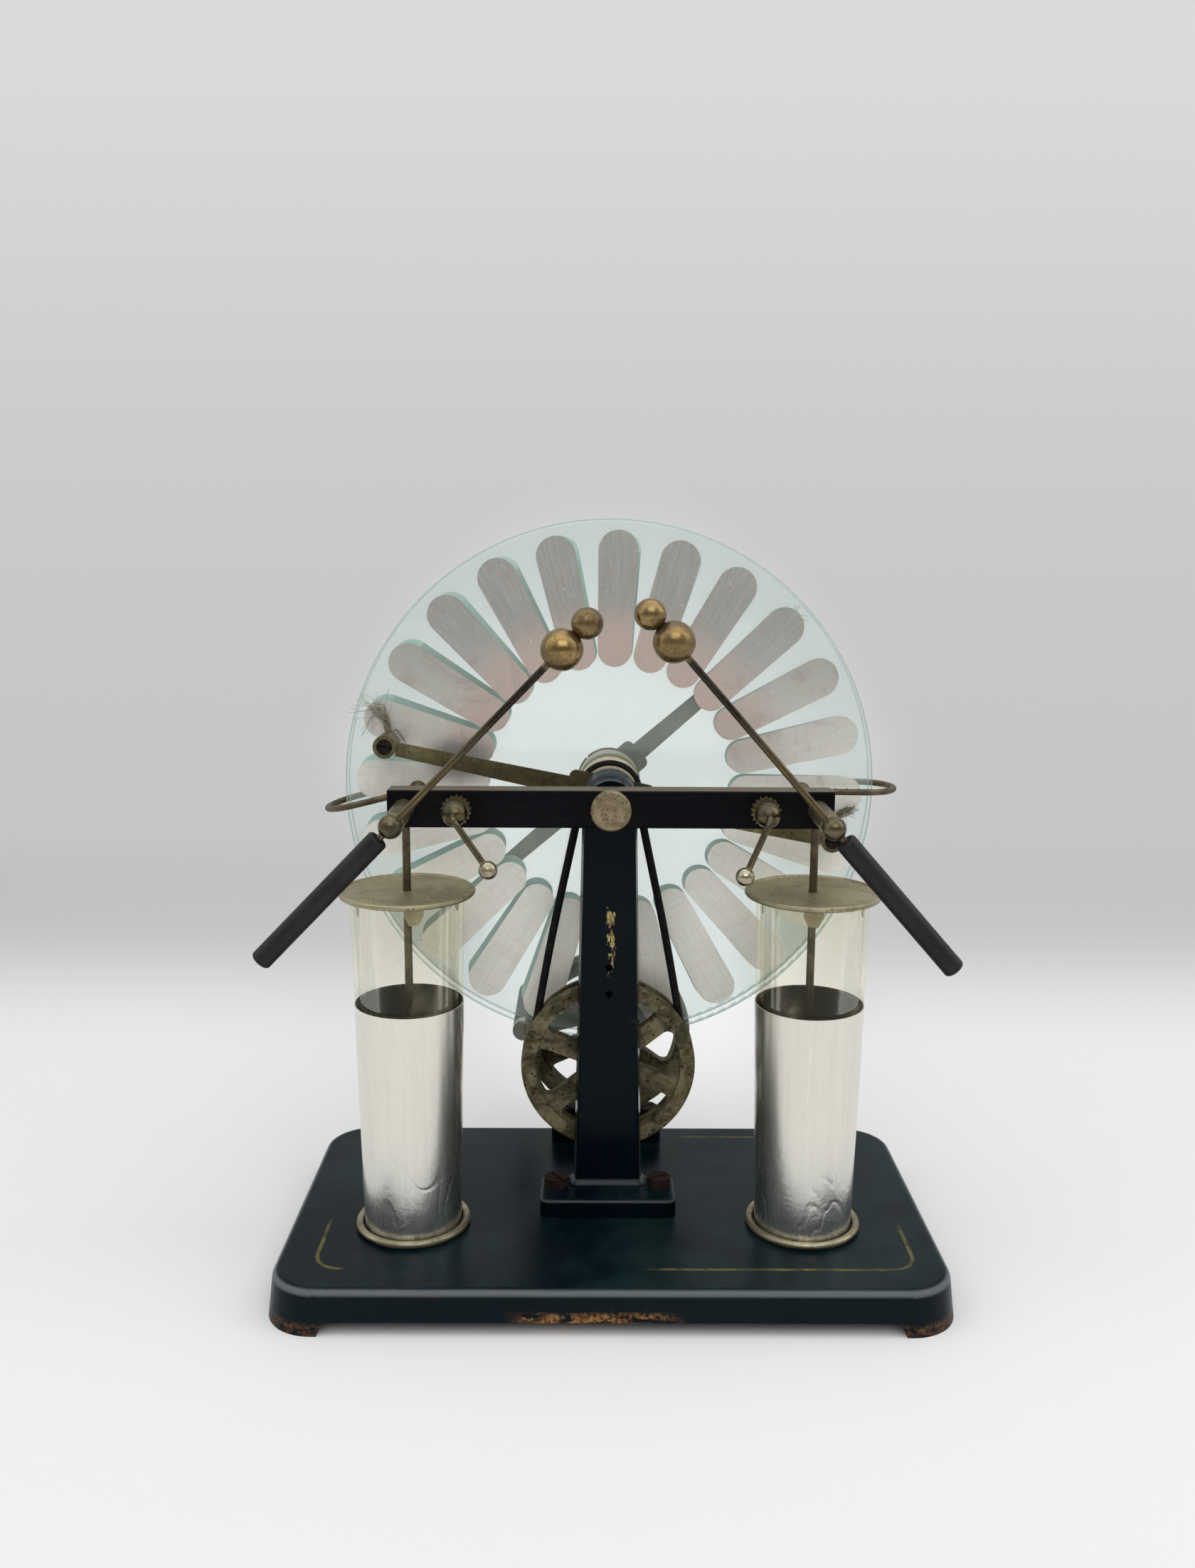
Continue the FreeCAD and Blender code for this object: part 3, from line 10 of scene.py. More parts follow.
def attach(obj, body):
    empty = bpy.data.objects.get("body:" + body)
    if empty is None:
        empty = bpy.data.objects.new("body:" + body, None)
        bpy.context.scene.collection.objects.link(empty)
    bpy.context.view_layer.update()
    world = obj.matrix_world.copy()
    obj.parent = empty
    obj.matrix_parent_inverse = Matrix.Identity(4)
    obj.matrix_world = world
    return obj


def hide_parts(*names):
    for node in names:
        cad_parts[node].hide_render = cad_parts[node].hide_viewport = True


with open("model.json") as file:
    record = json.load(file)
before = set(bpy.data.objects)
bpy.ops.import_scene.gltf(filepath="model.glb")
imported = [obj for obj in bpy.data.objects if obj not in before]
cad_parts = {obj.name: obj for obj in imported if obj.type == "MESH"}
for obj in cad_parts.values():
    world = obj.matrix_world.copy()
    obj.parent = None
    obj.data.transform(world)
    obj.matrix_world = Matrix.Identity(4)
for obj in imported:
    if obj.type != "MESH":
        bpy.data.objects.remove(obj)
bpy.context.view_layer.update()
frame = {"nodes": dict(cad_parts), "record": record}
nodes = frame["nodes"]
random.seed(7)
# height of the discs' axle, and how far the posts and the contact arms stand from the middle
axleHeight, postPlace, armPlace = 0.215, 0.0895, 0.0665


# The camera stands where the photograph was taken from

camera = {"place": (-0.008606, -0.61856, 0.32295), "down": 9.85, "turn": 0.28, "roll": 0.30, "lens": 30.142}


def placeCamera():
    data = bpy.data.cameras.new("camera")
    data.sensor_fit = "VERTICAL"
    data.sensor_height = 36
    data.lens = camera["lens"]
    data.clip_start = 0.02
    obj = bpy.data.objects.new("camera", data)
    aim = (Matrix.Rotation(math.radians(-camera["turn"]), 4, "Z")
           @ Matrix.Rotation(math.radians(90 - camera["down"]), 4, "X")
           @ Matrix.Rotation(math.radians(camera["roll"]), 4, "Z"))
    obj.matrix_world = Matrix.Translation(camera["place"]) @ aim
    bpy.context.scene.collection.objects.link(obj)
    bpy.context.scene.camera = obj


placeCamera()
print("camera placed")


# Shader writing

class Sock:
    # a socket that can be added, multiplied and so on, and writes the Math nodes for it
    def __init__(self, paint, out):
        self.paint = paint
        self.out = out

    def maths(self, operation, *others):
        values = dict(enumerate((self,) + others))
        return self.paint.node("ShaderNodeMath", {"operation": operation}, values)

    def flipped(self, operation, other):
        return self.paint.node("ShaderNodeMath", {"operation": operation}, {0: other, 1: self})

    def __add__(self, other):
        return self.maths("ADD", other)

    __radd__ = __add__

    def __sub__(self, other):
        return self.maths("SUBTRACT", other)

    def __rsub__(self, other):
        return self.flipped("SUBTRACT", other)

    def __mul__(self, other):
        return self.maths("MULTIPLY", other)

    __rmul__ = __mul__

    def __truediv__(self, other):
        return self.maths("DIVIDE", other)

    def __lt__(self, other):
        return self.maths("LESS_THAN", other)

    def __gt__(self, other):
        return self.maths("GREATER_THAN", other)

    def __pow__(self, other):
        return self.maths("POWER", other)

    def __abs__(self):
        return self.maths("ABSOLUTE")

    def least(self, other):
        return self.maths("MINIMUM", other)

    def most(self, other):
        return self.maths("MAXIMUM", other)

    def between(self, low, high):
        # 0 below low, 1 above high, smooth in the middle
        return self.paint.node("ShaderNodeMapRange", {"interpolation_type": "SMOOTHSTEP"},
                               {"Value": self, "From Min": low, "From Max": high})

    def output(self, name):
        return Sock(self.paint, self.out.node.outputs[name])


class Paint:
    # one material, or the world, under construction
    def __init__(self, name, owner=None):
        self.owner = owner or bpy.data.materials.new(name)
        self.owner.use_nodes = True
        self.tree = self.owner.node_tree
        self.tree.nodes.clear()
        self.coords = self.node("ShaderNodeTexCoord")
        self.place = self.coords.output("Object")
        self.facing = self.coords.output("Normal")

    def node(self, kind, settings={}, values={}, output=0):
        new = self.tree.nodes.new(kind)
        for name, value in settings.items():
            if name == "stops":
                self.setStops(new.color_ramp, value)
            else:
                setattr(new, name, value)
        for name, value in values.items():
            if isinstance(value, Sock):
                self.tree.links.new(value.out, new.inputs[name])
            else:
                new.inputs[name].default_value = value
        return Sock(self, new.outputs[output])

    def setStops(self, ramp, stops):
        while len(ramp.elements) < len(stops):
            ramp.elements.new(0.5)
        for element, (position, colour) in zip(ramp.elements, stops):
            element.position = position
            element.color = rgba(colour)

    def xyz(self, vector=None):
        parts = self.node("ShaderNodeSeparateXYZ", {}, {0: vector or self.place})
        return parts, parts.output("Y"), parts.output("Z")

    def stretch(self, scale):
        return self.node("ShaderNodeMapping", {}, {"Vector": self.place, "Scale": scale})

    def noise(self, scale, detail=4, roughness=0.55, vector=None, distortion=0):
        values = {"Vector": vector or self.place, "Scale": scale, "Detail": detail,
                  "Roughness": roughness, "Distortion": distortion}
        return self.node("ShaderNodeTexNoise", {}, values)

    def specks(self, scale):
        # distance to the nearest scattered point
        return self.node("ShaderNodeTexVoronoi", {}, {"Vector": self.place, "Scale": scale})

    def blend(self, first, second, factor):
        values = {0: factor, 6: first if isinstance(first, Sock) else rgba(first),
                  7: second if isinstance(second, Sock) else rgba(second)}
        return self.node("ShaderNodeMix", {"data_type": "RGBA"}, values, output=2)

    def bump(self, height, strength, distance):
        values = {"Height": height, "Strength": strength, "Distance": distance}
        return self.node("ShaderNodeBump", {}, values)

    def away(self, centre):
        # distance, seen from the front, from a point on the axle's level that is the same on both sides
        x, y, z = self.xyz()
        across = abs(x) - centre
        up = z - axleHeight
        return (across * across + up * up) ** 0.5

    def surface(self, **values):
        names = {"colour": "Base Color", "rough": "Roughness", "metal": "Metallic", "coat": "Coat Weight",
                 "coatRough": "Coat Roughness", "normal": "Normal", "specular": "Specular IOR Level",
                 "glow": "Emission Color", "glowStrength": "Emission Strength"}
        ready = {names[name]: rgba(value) if isinstance(value, tuple) else value
                 for name, value in values.items()}
        return self.node("ShaderNodeBsdfPrincipled", {}, ready)

    def mixShaders(self, first, second, factor):
        return self.node("ShaderNodeMixShader", {}, {0: factor, 1: first, 2: second})

    def done(self, shader, kind="ShaderNodeOutputMaterial"):
        end = self.tree.nodes.new(kind)
        self.tree.links.new(shader.out, end.inputs["Surface"])
        return self.owner


def rgba(colour):
    return tuple(colour) + (1,) if len(colour) == 3 else tuple(colour)


# Finishes

def enamel(name, colour, sheen, roughness, specular, edge, marks=None):
    # thick stove enamel over cast iron: nearly black, with orange peel, a little dust and small chips, a
    # painted sheen mostly on upward faces and a painted highlight along rounded edges
    paint = Paint(name)
    x, y, z = paint.xyz()
    peel = paint.noise(420, 3, 0.5)
    cloud = paint.noise(22, 5, 0.6)
    dustAndTopLight = paint.noise(900, 2, 0.5).between(0.66, 0.76) * paint.noise(14, 3).between(0.42, 0.6)
    pits = (1 - paint.specks(260).between(0.05, 0.16)) * paint.noise(60, 2).between(0.52, 0.6)
    nx, ny, nz = paint.xyz(paint.facing)
    up = nz.between(0.75, 0.97)
    # painted sheen and light: the paler blue-green tone shows in clouds on upward faces, and hardly on the
    # sides
    tone = paint.blend(colour, sheen, cloud.between(0.38, 0.68) * (0.12 + 0.88 * up))
    # painted highlight: a pale band on the rounded edges between the top and the sides, as strong as edge
    tone = paint.blend(tone, (0.105, 0.12, 0.125), nz.between(0.15, 0.45) * (1 - up) * edge)
    tone = paint.blend(tone, (0.085, 0.085, 0.075), dustAndTopLight * (0.05 + 0.3 * up))
    tone = paint.blend(tone, (0.04, 0.026, 0.014), pits * 0.6)
    rough = roughness + 0.14 * cloud + 0.3 * dustAndTopLight + 0.3 * pits
    height = peel * 0.4 + cloud * 0.8 - pits * 1.2
    if marks:
        tone, rough, height = marks(paint, x, y, z, tone, rough, height)
    normal = paint.bump(height, 0.28, 0.0004)
    return paint.done(paint.surface(colour=tone, rough=rough, normal=normal, specular=specular))


baseMarks = {"left": -0.1278, "right": 0.1335, "front": -0.0967, "back": 0.0345, "corner": 0.012,
             "line": 0.0011}


def stripeAndRust(paint, x, y, z, tone, rough, height):
    # a worn gold line with round corners, kept only in a few places, and rust on the front edge
    midX = (baseMarks["left"] + baseMarks["right"]) / 2
    midY = (baseMarks["front"] + baseMarks["back"]) / 2
    halfX = (baseMarks["right"] - baseMarks["left"]) / 2 - baseMarks["corner"]
    halfY = (baseMarks["back"] - baseMarks["front"]) / 2 - baseMarks["corner"]
    outX = (abs(x - midX) - halfX).most(0)
    outY = (abs(y - midY) - halfY).most(0)
    reach = (outX * outX + outY * outY) ** 0.5
    wobble = (paint.noise(90, 2) - 0.5) * 0.0008
    line = 1 - abs(reach + wobble - baseMarks["corner"]).between(baseMarks["line"] * 0.5, baseMarks["line"])
    top = (z > 0.0195) * 1
    frontRight = x.between(0.012, 0.03) * (1 - y.between(-0.07, -0.05))
    frontLeft = (1 - x.between(-0.117, -0.113)) * (1 - y.between(-0.066, -0.05))
    backRight = x.between(0.035, 0.045) * (1 - x.between(0.105, 0.125)) * y.between(0.0, 0.02)
    kept = (frontRight + frontLeft + backRight * 0.8).least(1)
    wear = paint.noise(160, 4, 0.7).between(0.36, 0.6)
    stripe = line * top * kept * (0.3 + 0.6 * wear)
    tone = paint.blend(tone, (0.13, 0.115, 0.028), stripe)
    flake = paint.noise(150, 5, 0.75, paint.stretch((1, 1, 2.4)))
    lowEdge = (1 - z.between(0.0085, 0.0115)) * (y < -0.11)
    middle = x.between(-0.045, -0.03) * (1 - x.between(0.012, 0.035))
    feet = (1 - z.between(0.0035, 0.0065)) * (y < -0.1)
    rust = ((lowEdge * middle).least(1) + 0.35 * feet) * flake.between(0.42, 0.52)
    rustTone = paint.blend((0.10, 0.035, 0.012), (0.30, 0.17, 0.06), paint.noise(700, 3).between(0.4, 0.65))
    tone = paint.blend(tone, rustTone, rust)
    corner = (1 - abs(z - 0.0182).between(0.0004, 0.0018)) * paint.noise(45, 6, 0.8).between(0.58, 0.68)
    tone = paint.blend(tone, (0.13, 0.085, 0.05), corner * 0.55)
    return tone, rough + rust * 0.4 + corner * 0.2, height - rust * 2 - corner


def columnChips(paint, x, y, z, tone, rough, height):
    # the pale streak where the enamel has come off the middle of the front column
    ragged = paint.noise(420, 5, 0.75, paint.stretch((1.8, 1, 0.7)))
    clump = paint.noise(150, 3, 0.6)
    reach = abs(x - 0.0006 + (paint.noise(110, 2) - 0.5) * 0.004)
    high = (1 - abs(z - 0.1535).between(0.006, 0.0125)) * (1 - reach.between(0.0004, 0.0030))
    low = (1 - abs(z - 0.1375).between(0.002, 0.0085)) * (1 - reach.between(0.0003, 0.0026))
    bare = (high * 0.28 + low * 0.21 + ragged + clump * 0.6 - 1.00).between(0.0, 0.04) * (y < -0.0355)
    bare = bare * (high + low).between(0.02, 0.1)
    yellow = paint.blend((0.46, 0.37, 0.16), (0.18, 0.12, 0.05), paint.noise(600, 3).between(0.45, 0.62))
    tone = paint.blend(tone, yellow, bare)
    edge = paint.noise(30, 6, 0.8).between(0.6, 0.7) * (abs(x) > 0.0095) * (z > 0.03)
    tone = paint.blend(tone, (0.10, 0.07, 0.04), edge * 0.25)
    return tone, rough + bare * 0.35, height - bare * 1.6


def oldBrass(name, bright, dark, tarnish, roughness=0.3, scale=1.0, regions=None, spotty=0.0):
    # brass that has gone brown in clouds, with rubbed brighter places and dark spots
    paint = Paint(name)
    cloud = paint.noise(60 * scale, 6, 0.65, distortion=0.6)
    fine = paint.noise(480 * scale, 4, 0.6)
    spots = 1 - paint.specks(330 * scale).between(0.1 + 0.12 * spotty, 0.3 + 0.12 * spotty)
    spots = spots * paint.noise(90 * scale, 2).between(0.5 - 0.14 * spotty, 0.62 - 0.14 * spotty)
    patina = cloud.between(0.5 - tarnish * 0.35, 0.78 - tarnish * 0.3) * 0.8
    patina = (patina + fine.between(0.45, 0.75) * 0.35).least(1)
    tone = paint.blend(bright, dark, patina)
    if regions:
        tone = regions(paint, tone, patina)
    tone = paint.blend(tone, [c * 0.35 for c in dark], spots * 0.75)
    rough = roughness + 0.20 * patina + 0.2 * spots + 0.05 * fine
    normal = paint.bump(fine * 0.4 - spots * 0.7 + cloud * 0.3, 0.16, 0.0002)
    return paint.done(paint.surface(colour=tone, rough=rough, metal=1 - 0.35 * patina, normal=normal))


def dullRod(paint, tone, patina):
    # discharge rods are nearly black by the balls and olive brass towards the pivot
    along = paint.away(postPlace)
    rod = paint.blend((0.150, 0.108, 0.048), (0.020, 0.015, 0.012), along.between(0.028, 0.072))
    rod = paint.blend(rod, (0.040, 0.036, 0.025), patina * 0.6)
    pivot = paint.blend((0.16, 0.13, 0.072), (0.045, 0.038, 0.024), patina)
    dull = paint.blend(pivot, rod, along.between(0.0055, 0.0075))
    return paint.blend(dull, tone, along.between(0.0885, 0.0905))


def dullKnob(paint, tone, patina):
    # a contact arm is dark olive but for its bright end ball
    along = paint.away(armPlace)
    knob = paint.blend((0.135, 0.108, 0.058), (0.045, 0.038, 0.024), patina)
    return paint.blend(knob, tone, along.between(0.0215, 0.0235))


def darkPlastic(name, colour, sheen, roughness, specular=0.22, dustAndTopLight=(0.03, 0.028, 0.025)):
    # ebonite and turned wood, gone slightly brown and grey with age, with upward faces painted paler:
    # painted light on the top face, and dust
    paint = Paint(name)
    cloud = paint.noise(35, 5, 0.6)
    scuff = paint.noise(260, 4, 0.7, paint.stretch((1, 1, 0.25)))
    scratch = paint.noise(900, 2, 0.5, paint.stretch((0.08, 1, 1))).between(0.62, 0.72)
    tone = paint.blend(colour, sheen, cloud.between(0.4, 0.75))
    tone = paint.blend(tone, (0.05, 0.044, 0.04), scratch * 0.1)
    nx, ny, nz = paint.xyz(paint.facing)
    # painted light and dust: upward faces are blended to the pale top colour
    tone = paint.blend(tone, dustAndTopLight, nz.between(0.9, 0.98))
    rough = roughness + 0.15 * scuff + 0.1 * scratch
    return paint.done(paint.surface(colour=tone, rough=rough, normal=paint.bump(scuff, 0.1, 0.0002),
                                    specular=specular))


def plateGlass(name):
    # flat glass: clear through its faces with a thin film of dust, pale green where the ground rim is seen
    paint = Paint(name)
    x, y, z = paint.xyz(paint.facing)
    rim = 1 - abs(y).between(0.55, 0.95)
    smear = paint.noise(14, 5, 0.6, distortion=1.2)
    specks = (1 - paint.specks(120).between(0.02, 0.06)) * paint.noise(30, 2).between(0.45, 0.6)
    clear = paint.node("ShaderNodeBsdfTransparent", {}, {"Color": rgba((0.976, 0.998, 0.990))})
    shine = paint.node("ShaderNodeBsdfGlossy", {}, {"Color": rgba((1, 1, 1)), "Roughness": 0.02})
    gloss = paint.node("ShaderNodeFresnel", {}, {"IOR": 1.5})
    face = paint.mixShaders(clear, shine, gloss * 0.5)
    dusty = paint.surface(colour=(0.90, 0.97, 0.94), rough=0.9, specular=0.1)
    face = paint.mixShaders(face, dusty, 0.03 + specks * 0.25 + 0.07 * smear)
    edge = paint.surface(colour=(0.50, 0.60, 0.56), rough=0.25, specular=0.6)
    pale = paint.node("ShaderNodeBsdfTransparent", {}, {"Color": rgba((0.80, 0.92, 0.88))})
    edge = paint.mixShaders(pale, edge, 0.45)
    return paint.done(paint.mixShaders(face, edge, rim))


def jarGlass(name):
    # old blown glass with a straw tint that deepens towards its edges
    paint = Paint(name)
    weight = paint.node("ShaderNodeLayerWeight", {}, {"Blend": 0.35}).output("Facing")
    swirl = paint.noise(26, 5, 0.65, paint.stretch((1, 1, 0.4)), distortion=1.5)
    tint = paint.blend((1.0, 0.998, 0.960), (0.90, 0.87, 0.64), weight.between(0.6, 1.0))
    clear = paint.node("ShaderNodeBsdfTransparent", {}, {"Color": tint})
    shine = paint.node("ShaderNodeBsdfGlossy", {}, {"Color": rgba((1, 1, 1)), "Roughness": 0.04})
    gloss = paint.node("ShaderNodeFresnel", {}, {"IOR": 1.5, "Normal": paint.bump(swirl, 0.25, 0.0012)})
    film = paint.surface(colour=(0.92, 0.87, 0.58), rough=0.8, specular=0.1)
    glass = paint.mixShaders(clear, shine, gloss * 0.2)
    stain = swirl.between(0.50, 0.72) * 0.10 + 0.002
    return paint.done(paint.mixShaders(glass, film, stain))


def foilSectors(name, behindGlass=False):
    # thin foil tongues with fine rubbed lines along and across and brown blooms, painted pale low down and
    # dark high up as painted light, with a painted reddish reflection on the inner ends
    paint = Paint(name)
    x, y, z = paint.xyz()
    reach = paint.away(0)
    angle = x.maths("ARCTAN2", z - axleHeight)
    along = paint.noise(1, 3, 0.6, paint.node("ShaderNodeCombineXYZ", {}, {0: angle * 95, 1: reach * 45}))
    across = paint.noise(1, 3, 0.6, paint.node("ShaderNodeCombineXYZ", {}, {0: angle * 7, 1: reach * 1100}))
    bloom = paint.noise(34, 6, 0.68, distortion=1.4)
    nicks = paint.noise(420, 3, 0.6).between(0.66, 0.74)
    high = z.between(0.19, 0.30)
    lines = along.between(0.42, 0.66) * (0.14 + 0.22 * high) + across.between(0.50, 0.68) * 0.16
    # painted reflection: a reddish tint on the inner ends of the upper sectors
    reddishReflection = (1 - reach.between(0.070, 0.092)) * z.between(0.215, 0.25)
    offX, offZ = x + 0.070, (z - 0.228) * 1.6
    shaded = 1 - ((offX * offX + offZ * offZ) ** 0.5).between(0.007, 0.024)
    # painted light: the lower sectors are pale as if they reflect the bright floor, the upper ones dark as
    # if they reflect the dim room
    tone = paint.blend((0.95, 0.94, 0.86), (0.36, 0.36, 0.33), high)
    tone = paint.blend(tone, (0.60, 0.45, 0.38), reddishReflection * 0.75)
    tone = paint.blend(tone, (0.52, 0.50, 0.46), lines)
    brown = bloom.between(0.50, 0.72) * (0.10 + 0.6 * z.between(0.2, 0.24))
    tone = paint.blend(tone, (0.38, 0.33, 0.29), brown)
    tone = paint.blend(tone, (0.20, 0.18, 0.18), shaded * (0.6 + 0.5 * bloom))
    tone = paint.blend(tone, (0.85, 0.84, 0.80), nicks * 0.4)
    rough = 0.40 + 0.14 * along + 0.1 * across
    normal = paint.bump(along * 0.6 + across * 0.5 + nicks * 0.4, 0.16, 0.0002)
    if not behindGlass:
        return paint.done(paint.surface(colour=tone, rough=rough, metal=0.45, normal=normal))
    # the side that is stuck to the glass looks pale green, and glows faintly: a painted glow standing in for
    # light through the glass
    nx, ny, nz = paint.xyz(paint.facing)
    glued = 1 - ny.between(-0.6, -0.2)
    green = paint.blend((0.66, 0.90, 0.82), (0.86, 1.0, 0.92), bloom.between(0.4, 0.6))
    tone = paint.blend(tone, green, glued)
    # painted glow on the glued side
    lit = paint.blend((0, 0, 0), (0.62, 0.86, 0.79), glued)
    return paint.done(paint.surface(colour=tone, rough=rough, metal=0.45 - 0.45 * glued, normal=normal,
                                    glow=lit, glowStrength=0.11))


def jarFoil(name):
    # bright foil pasted on the jar: soft upright creases, rubbed streaks and crumples at the foot, with a
    # painted bluish reflection of the base towards the foot
    paint = Paint(name)
    x, y, z = paint.xyz()
    tall = paint.noise(15, 1, 0.3, paint.stretch((1, 1, 0.14)))
    streak = paint.noise(420, 3, 0.6, paint.stretch((1, 1, 0.03)))
    crumple = paint.noise(85, 5, 0.7, paint.stretch((1, 1, 0.8)), distortion=2.2)
    foot = 1 - z.between(0.032, 0.075)
    pleat = abs(paint.noise(60, 2, 0.4, paint.stretch((1, 1, 0.5)), distortion=1.0) - 0.5).between(0.0, 0.06)
    tone = paint.blend((0.79, 0.775, 0.69), (0.72, 0.70, 0.62), streak.between(0.4, 0.65) * 0.4)
    # painted reflection: bluish towards the foot, as of the dark blue base below
    tone = paint.blend(tone, (0.54, 0.57, 0.64), foot * 0.4)
    height = tall * 0.10 + foot * (crumple * 0.5 + pleat * 0.3)
    rough = 0.20 + 0.10 * streak + 0.05 * tall
    normal = paint.bump(height, 0.4, 0.0012)
    return paint.done(paint.surface(colour=tone, rough=rough, metal=0.97, normal=normal))


def innerFoil(name):
    # the lining of the jar, dull and painted dark brown-grey behind the glass: painted shade of the inside
    # of the jar
    paint = Paint(name)
    tall = paint.noise(38, 3, 0.5, paint.stretch((1, 1, 0.12)))
    streak = paint.noise(420, 3, 0.6, paint.stretch((1, 1, 0.03)))
    tone = paint.blend((0.085, 0.082, 0.050), (0.045, 0.043, 0.026), tall.between(0.35, 0.65))
    return paint.done(paint.surface(colour=tone, rough=0.55 + 0.1 * streak, metal=0.4, specular=0.2,
                                    normal=paint.bump(tall, 0.2, 0.001)))


def dullMetal(name, colour, dark, roughness, metal=0.9, scale=1.0, lines=0.0):
    # plain metal gone dull, with fingerprints, freckles and faint turned lines
    paint = Paint(name)
    cloud = paint.noise(40 * scale, 6, 0.65, distortion=0.8)
    freckle = 1 - paint.specks(420 * scale).between(0.12, 0.34)
    freckle = freckle * paint.noise(120 * scale, 3).between(0.45, 0.6)
    fine = paint.noise(700 * scale, 3, 0.6)
    tone = paint.blend(colour, dark, cloud.between(0.38, 0.7) * 0.8)
    tone = paint.blend(tone, [c * 0.4 for c in dark], freckle * 0.6)
    rough = roughness + 0.18 * cloud + 0.25 * freckle
    normal = paint.bump(fine * (0.4 + lines) - freckle * 0.5, 0.18, 0.0002)
    return paint.done(paint.surface(colour=tone, rough=rough, metal=metal, normal=normal))


def rustySteel(name, deep, pale):
    paint = Paint(name)
    cloud = paint.noise(320, 6, 0.7)
    grain = paint.noise(1500, 4, 0.7)
    tone = paint.blend(deep, pale, cloud.between(0.42, 0.72))
    tone = paint.blend(tone, (0.010, 0.006, 0.005), grain.between(0.5, 0.7) * 0.6)
    return paint.done(paint.surface(colour=tone, rough=0.72 + 0.15 * grain, metal=0.1, specular=0.2,
                                    normal=paint.bump(cloud + grain * 0.5, 0.5, 0.0003)))


def pittedWheel(name):
    # bare cast metal once painted: tan, with dark pores and brown stains
    paint = Paint(name)
    cloud = paint.noise(75, 6, 0.7, distortion=0.6)
    pores = (1 - paint.specks(430).between(0.10, 0.38)) * paint.noise(170, 3).between(0.44, 0.56)
    stain = paint.noise(45, 5, 0.75).between(0.5, 0.66)
    tone = paint.blend((0.215, 0.185, 0.105), (0.060, 0.052, 0.022), cloud.between(0.40, 0.60))
    tone = paint.blend(tone, (0.050, 0.030, 0.015), stain * 0.7)
    tone = paint.blend(tone, (0.012, 0.010, 0.007), pores * 0.9)
    rough = 0.52 + 0.2 * cloud + 0.2 * pores
    height = cloud * 0.6 - pores * 1.4 + paint.noise(900, 3) * 0.4
    return paint.done(paint.surface(colour=tone, rough=rough, metal=0.25, specular=0.25,
                                    normal=paint.bump(height, 0.55, 0.0005)))


def creamBoss(name):
    # cream boss and pulley, painted dark brown in the recess and the groove: painted shade
    paint = Paint(name)
    x, y, z = paint.xyz()
    reach = paint.away(0)
    cloud = paint.noise(120, 5, 0.65)
    recess = (1 - reach.between(0.0108, 0.0118)) * (abs(y) > 0.0205)
    groove = 1 - abs(abs(y) - 0.020).between(0.0012, 0.0022)
    tone = paint.blend((0.60, 0.53, 0.36), (0.36, 0.30, 0.18), cloud.between(0.4, 0.7))
    # painted shade: dark brown in the recess and the groove
    tone = paint.blend(tone, (0.08, 0.050, 0.022), (recess + groove * 0.8).least(1))
    return paint.done(paint.surface(colour=tone, rough=0.42 + 0.2 * cloud, coat=0.2, coatRough=0.3,
                                    normal=paint.bump(cloud, 0.15, 0.0003)))


def beltLeather(name):
    paint = Paint(name)
    grain = paint.specks(1400)
    cloud = paint.noise(150, 5, 0.7)
    crack = paint.noise(800, 3, 0.6, paint.stretch((1, 1, 0.3))).between(0.58, 0.68)
    tone = paint.blend((0.004, 0.004, 0.004), (0.010, 0.009, 0.009), cloud.between(0.4, 0.7))
    tone = paint.blend(tone, (0.05, 0.042, 0.034), crack * 0.3)
    return paint.done(paint.surface(colour=tone, rough=0.5 + 0.2 * cloud, specular=0.1,
                                    normal=paint.bump(grain + crack, 0.3, 0.0003)))


def brushWire(name, colour):
    paint = Paint(name)
    tint = paint.noise(900, 2)
    tone = paint.blend(colour, [c * 0.4 for c in colour], tint.between(0.4, 0.6))
    return paint.done(paint.surface(colour=tone, rough=0.4 + 0.1 * tint, metal=0.7))


finishes = {
    "base_enamel": enamel("baseEnamel", (0.0008, 0.0054, 0.0088), (0.0070, 0.0185, 0.0205), 0.22, 0.10,
                          1.0, stripeAndRust),
    "black_enamel": enamel("columnEnamel", (0.0004, 0.0036, 0.0068), (0.0070, 0.0180, 0.0205), 0.13, 0.08,
                           0.4, columnChips),
    "plate_glass": plateGlass("plateGlass"),
    "jar_glass": jarGlass("jarGlass"),
    "sector_foil": foilSectors("sectorFoil"),
    "jar_foil": jarFoil("jarFoil"),
    "old_brass": oldBrass("oldBrass", (0.25, 0.21, 0.105), (0.085, 0.070, 0.034), 0.5, 0.26),
    "lid_metal": dullMetal("lidMetal", (0.40, 0.355, 0.225), (0.23, 0.20, 0.125), 0.42),
    "steel": dullMetal("agedSteel", (0.42, 0.42, 0.36), (0.21, 0.195, 0.14), 0.35),
    "screw_steel": rustySteel("rustyScrew", (0.012, 0.006, 0.005), (0.040, 0.019, 0.013)),
    "nickel": dullMetal("speckledNickel", (0.42, 0.40, 0.32), (0.22, 0.185, 0.12), 0.38, scale=2.2),
    "cream_boss": creamBoss("creamBoss"),
    "wheel_paint": pittedWheel("pittedWheel"),
    "belt_leather": beltLeather("beltLeather"),
    "ebonite": darkPlastic("ebonite", (0.0022, 0.0022, 0.0040), (0.005, 0.0045, 0.0065), 0.34, 0.07,
                           (0.12, 0.10, 0.072)),
    "black_wood": darkPlastic("blackWood", (0.005, 0.0045, 0.004), (0.012, 0.009, 0.008), 0.42, 0.1),
    "bristles": brushWire("bristleBrass", (0.34, 0.30, 0.19)),
}
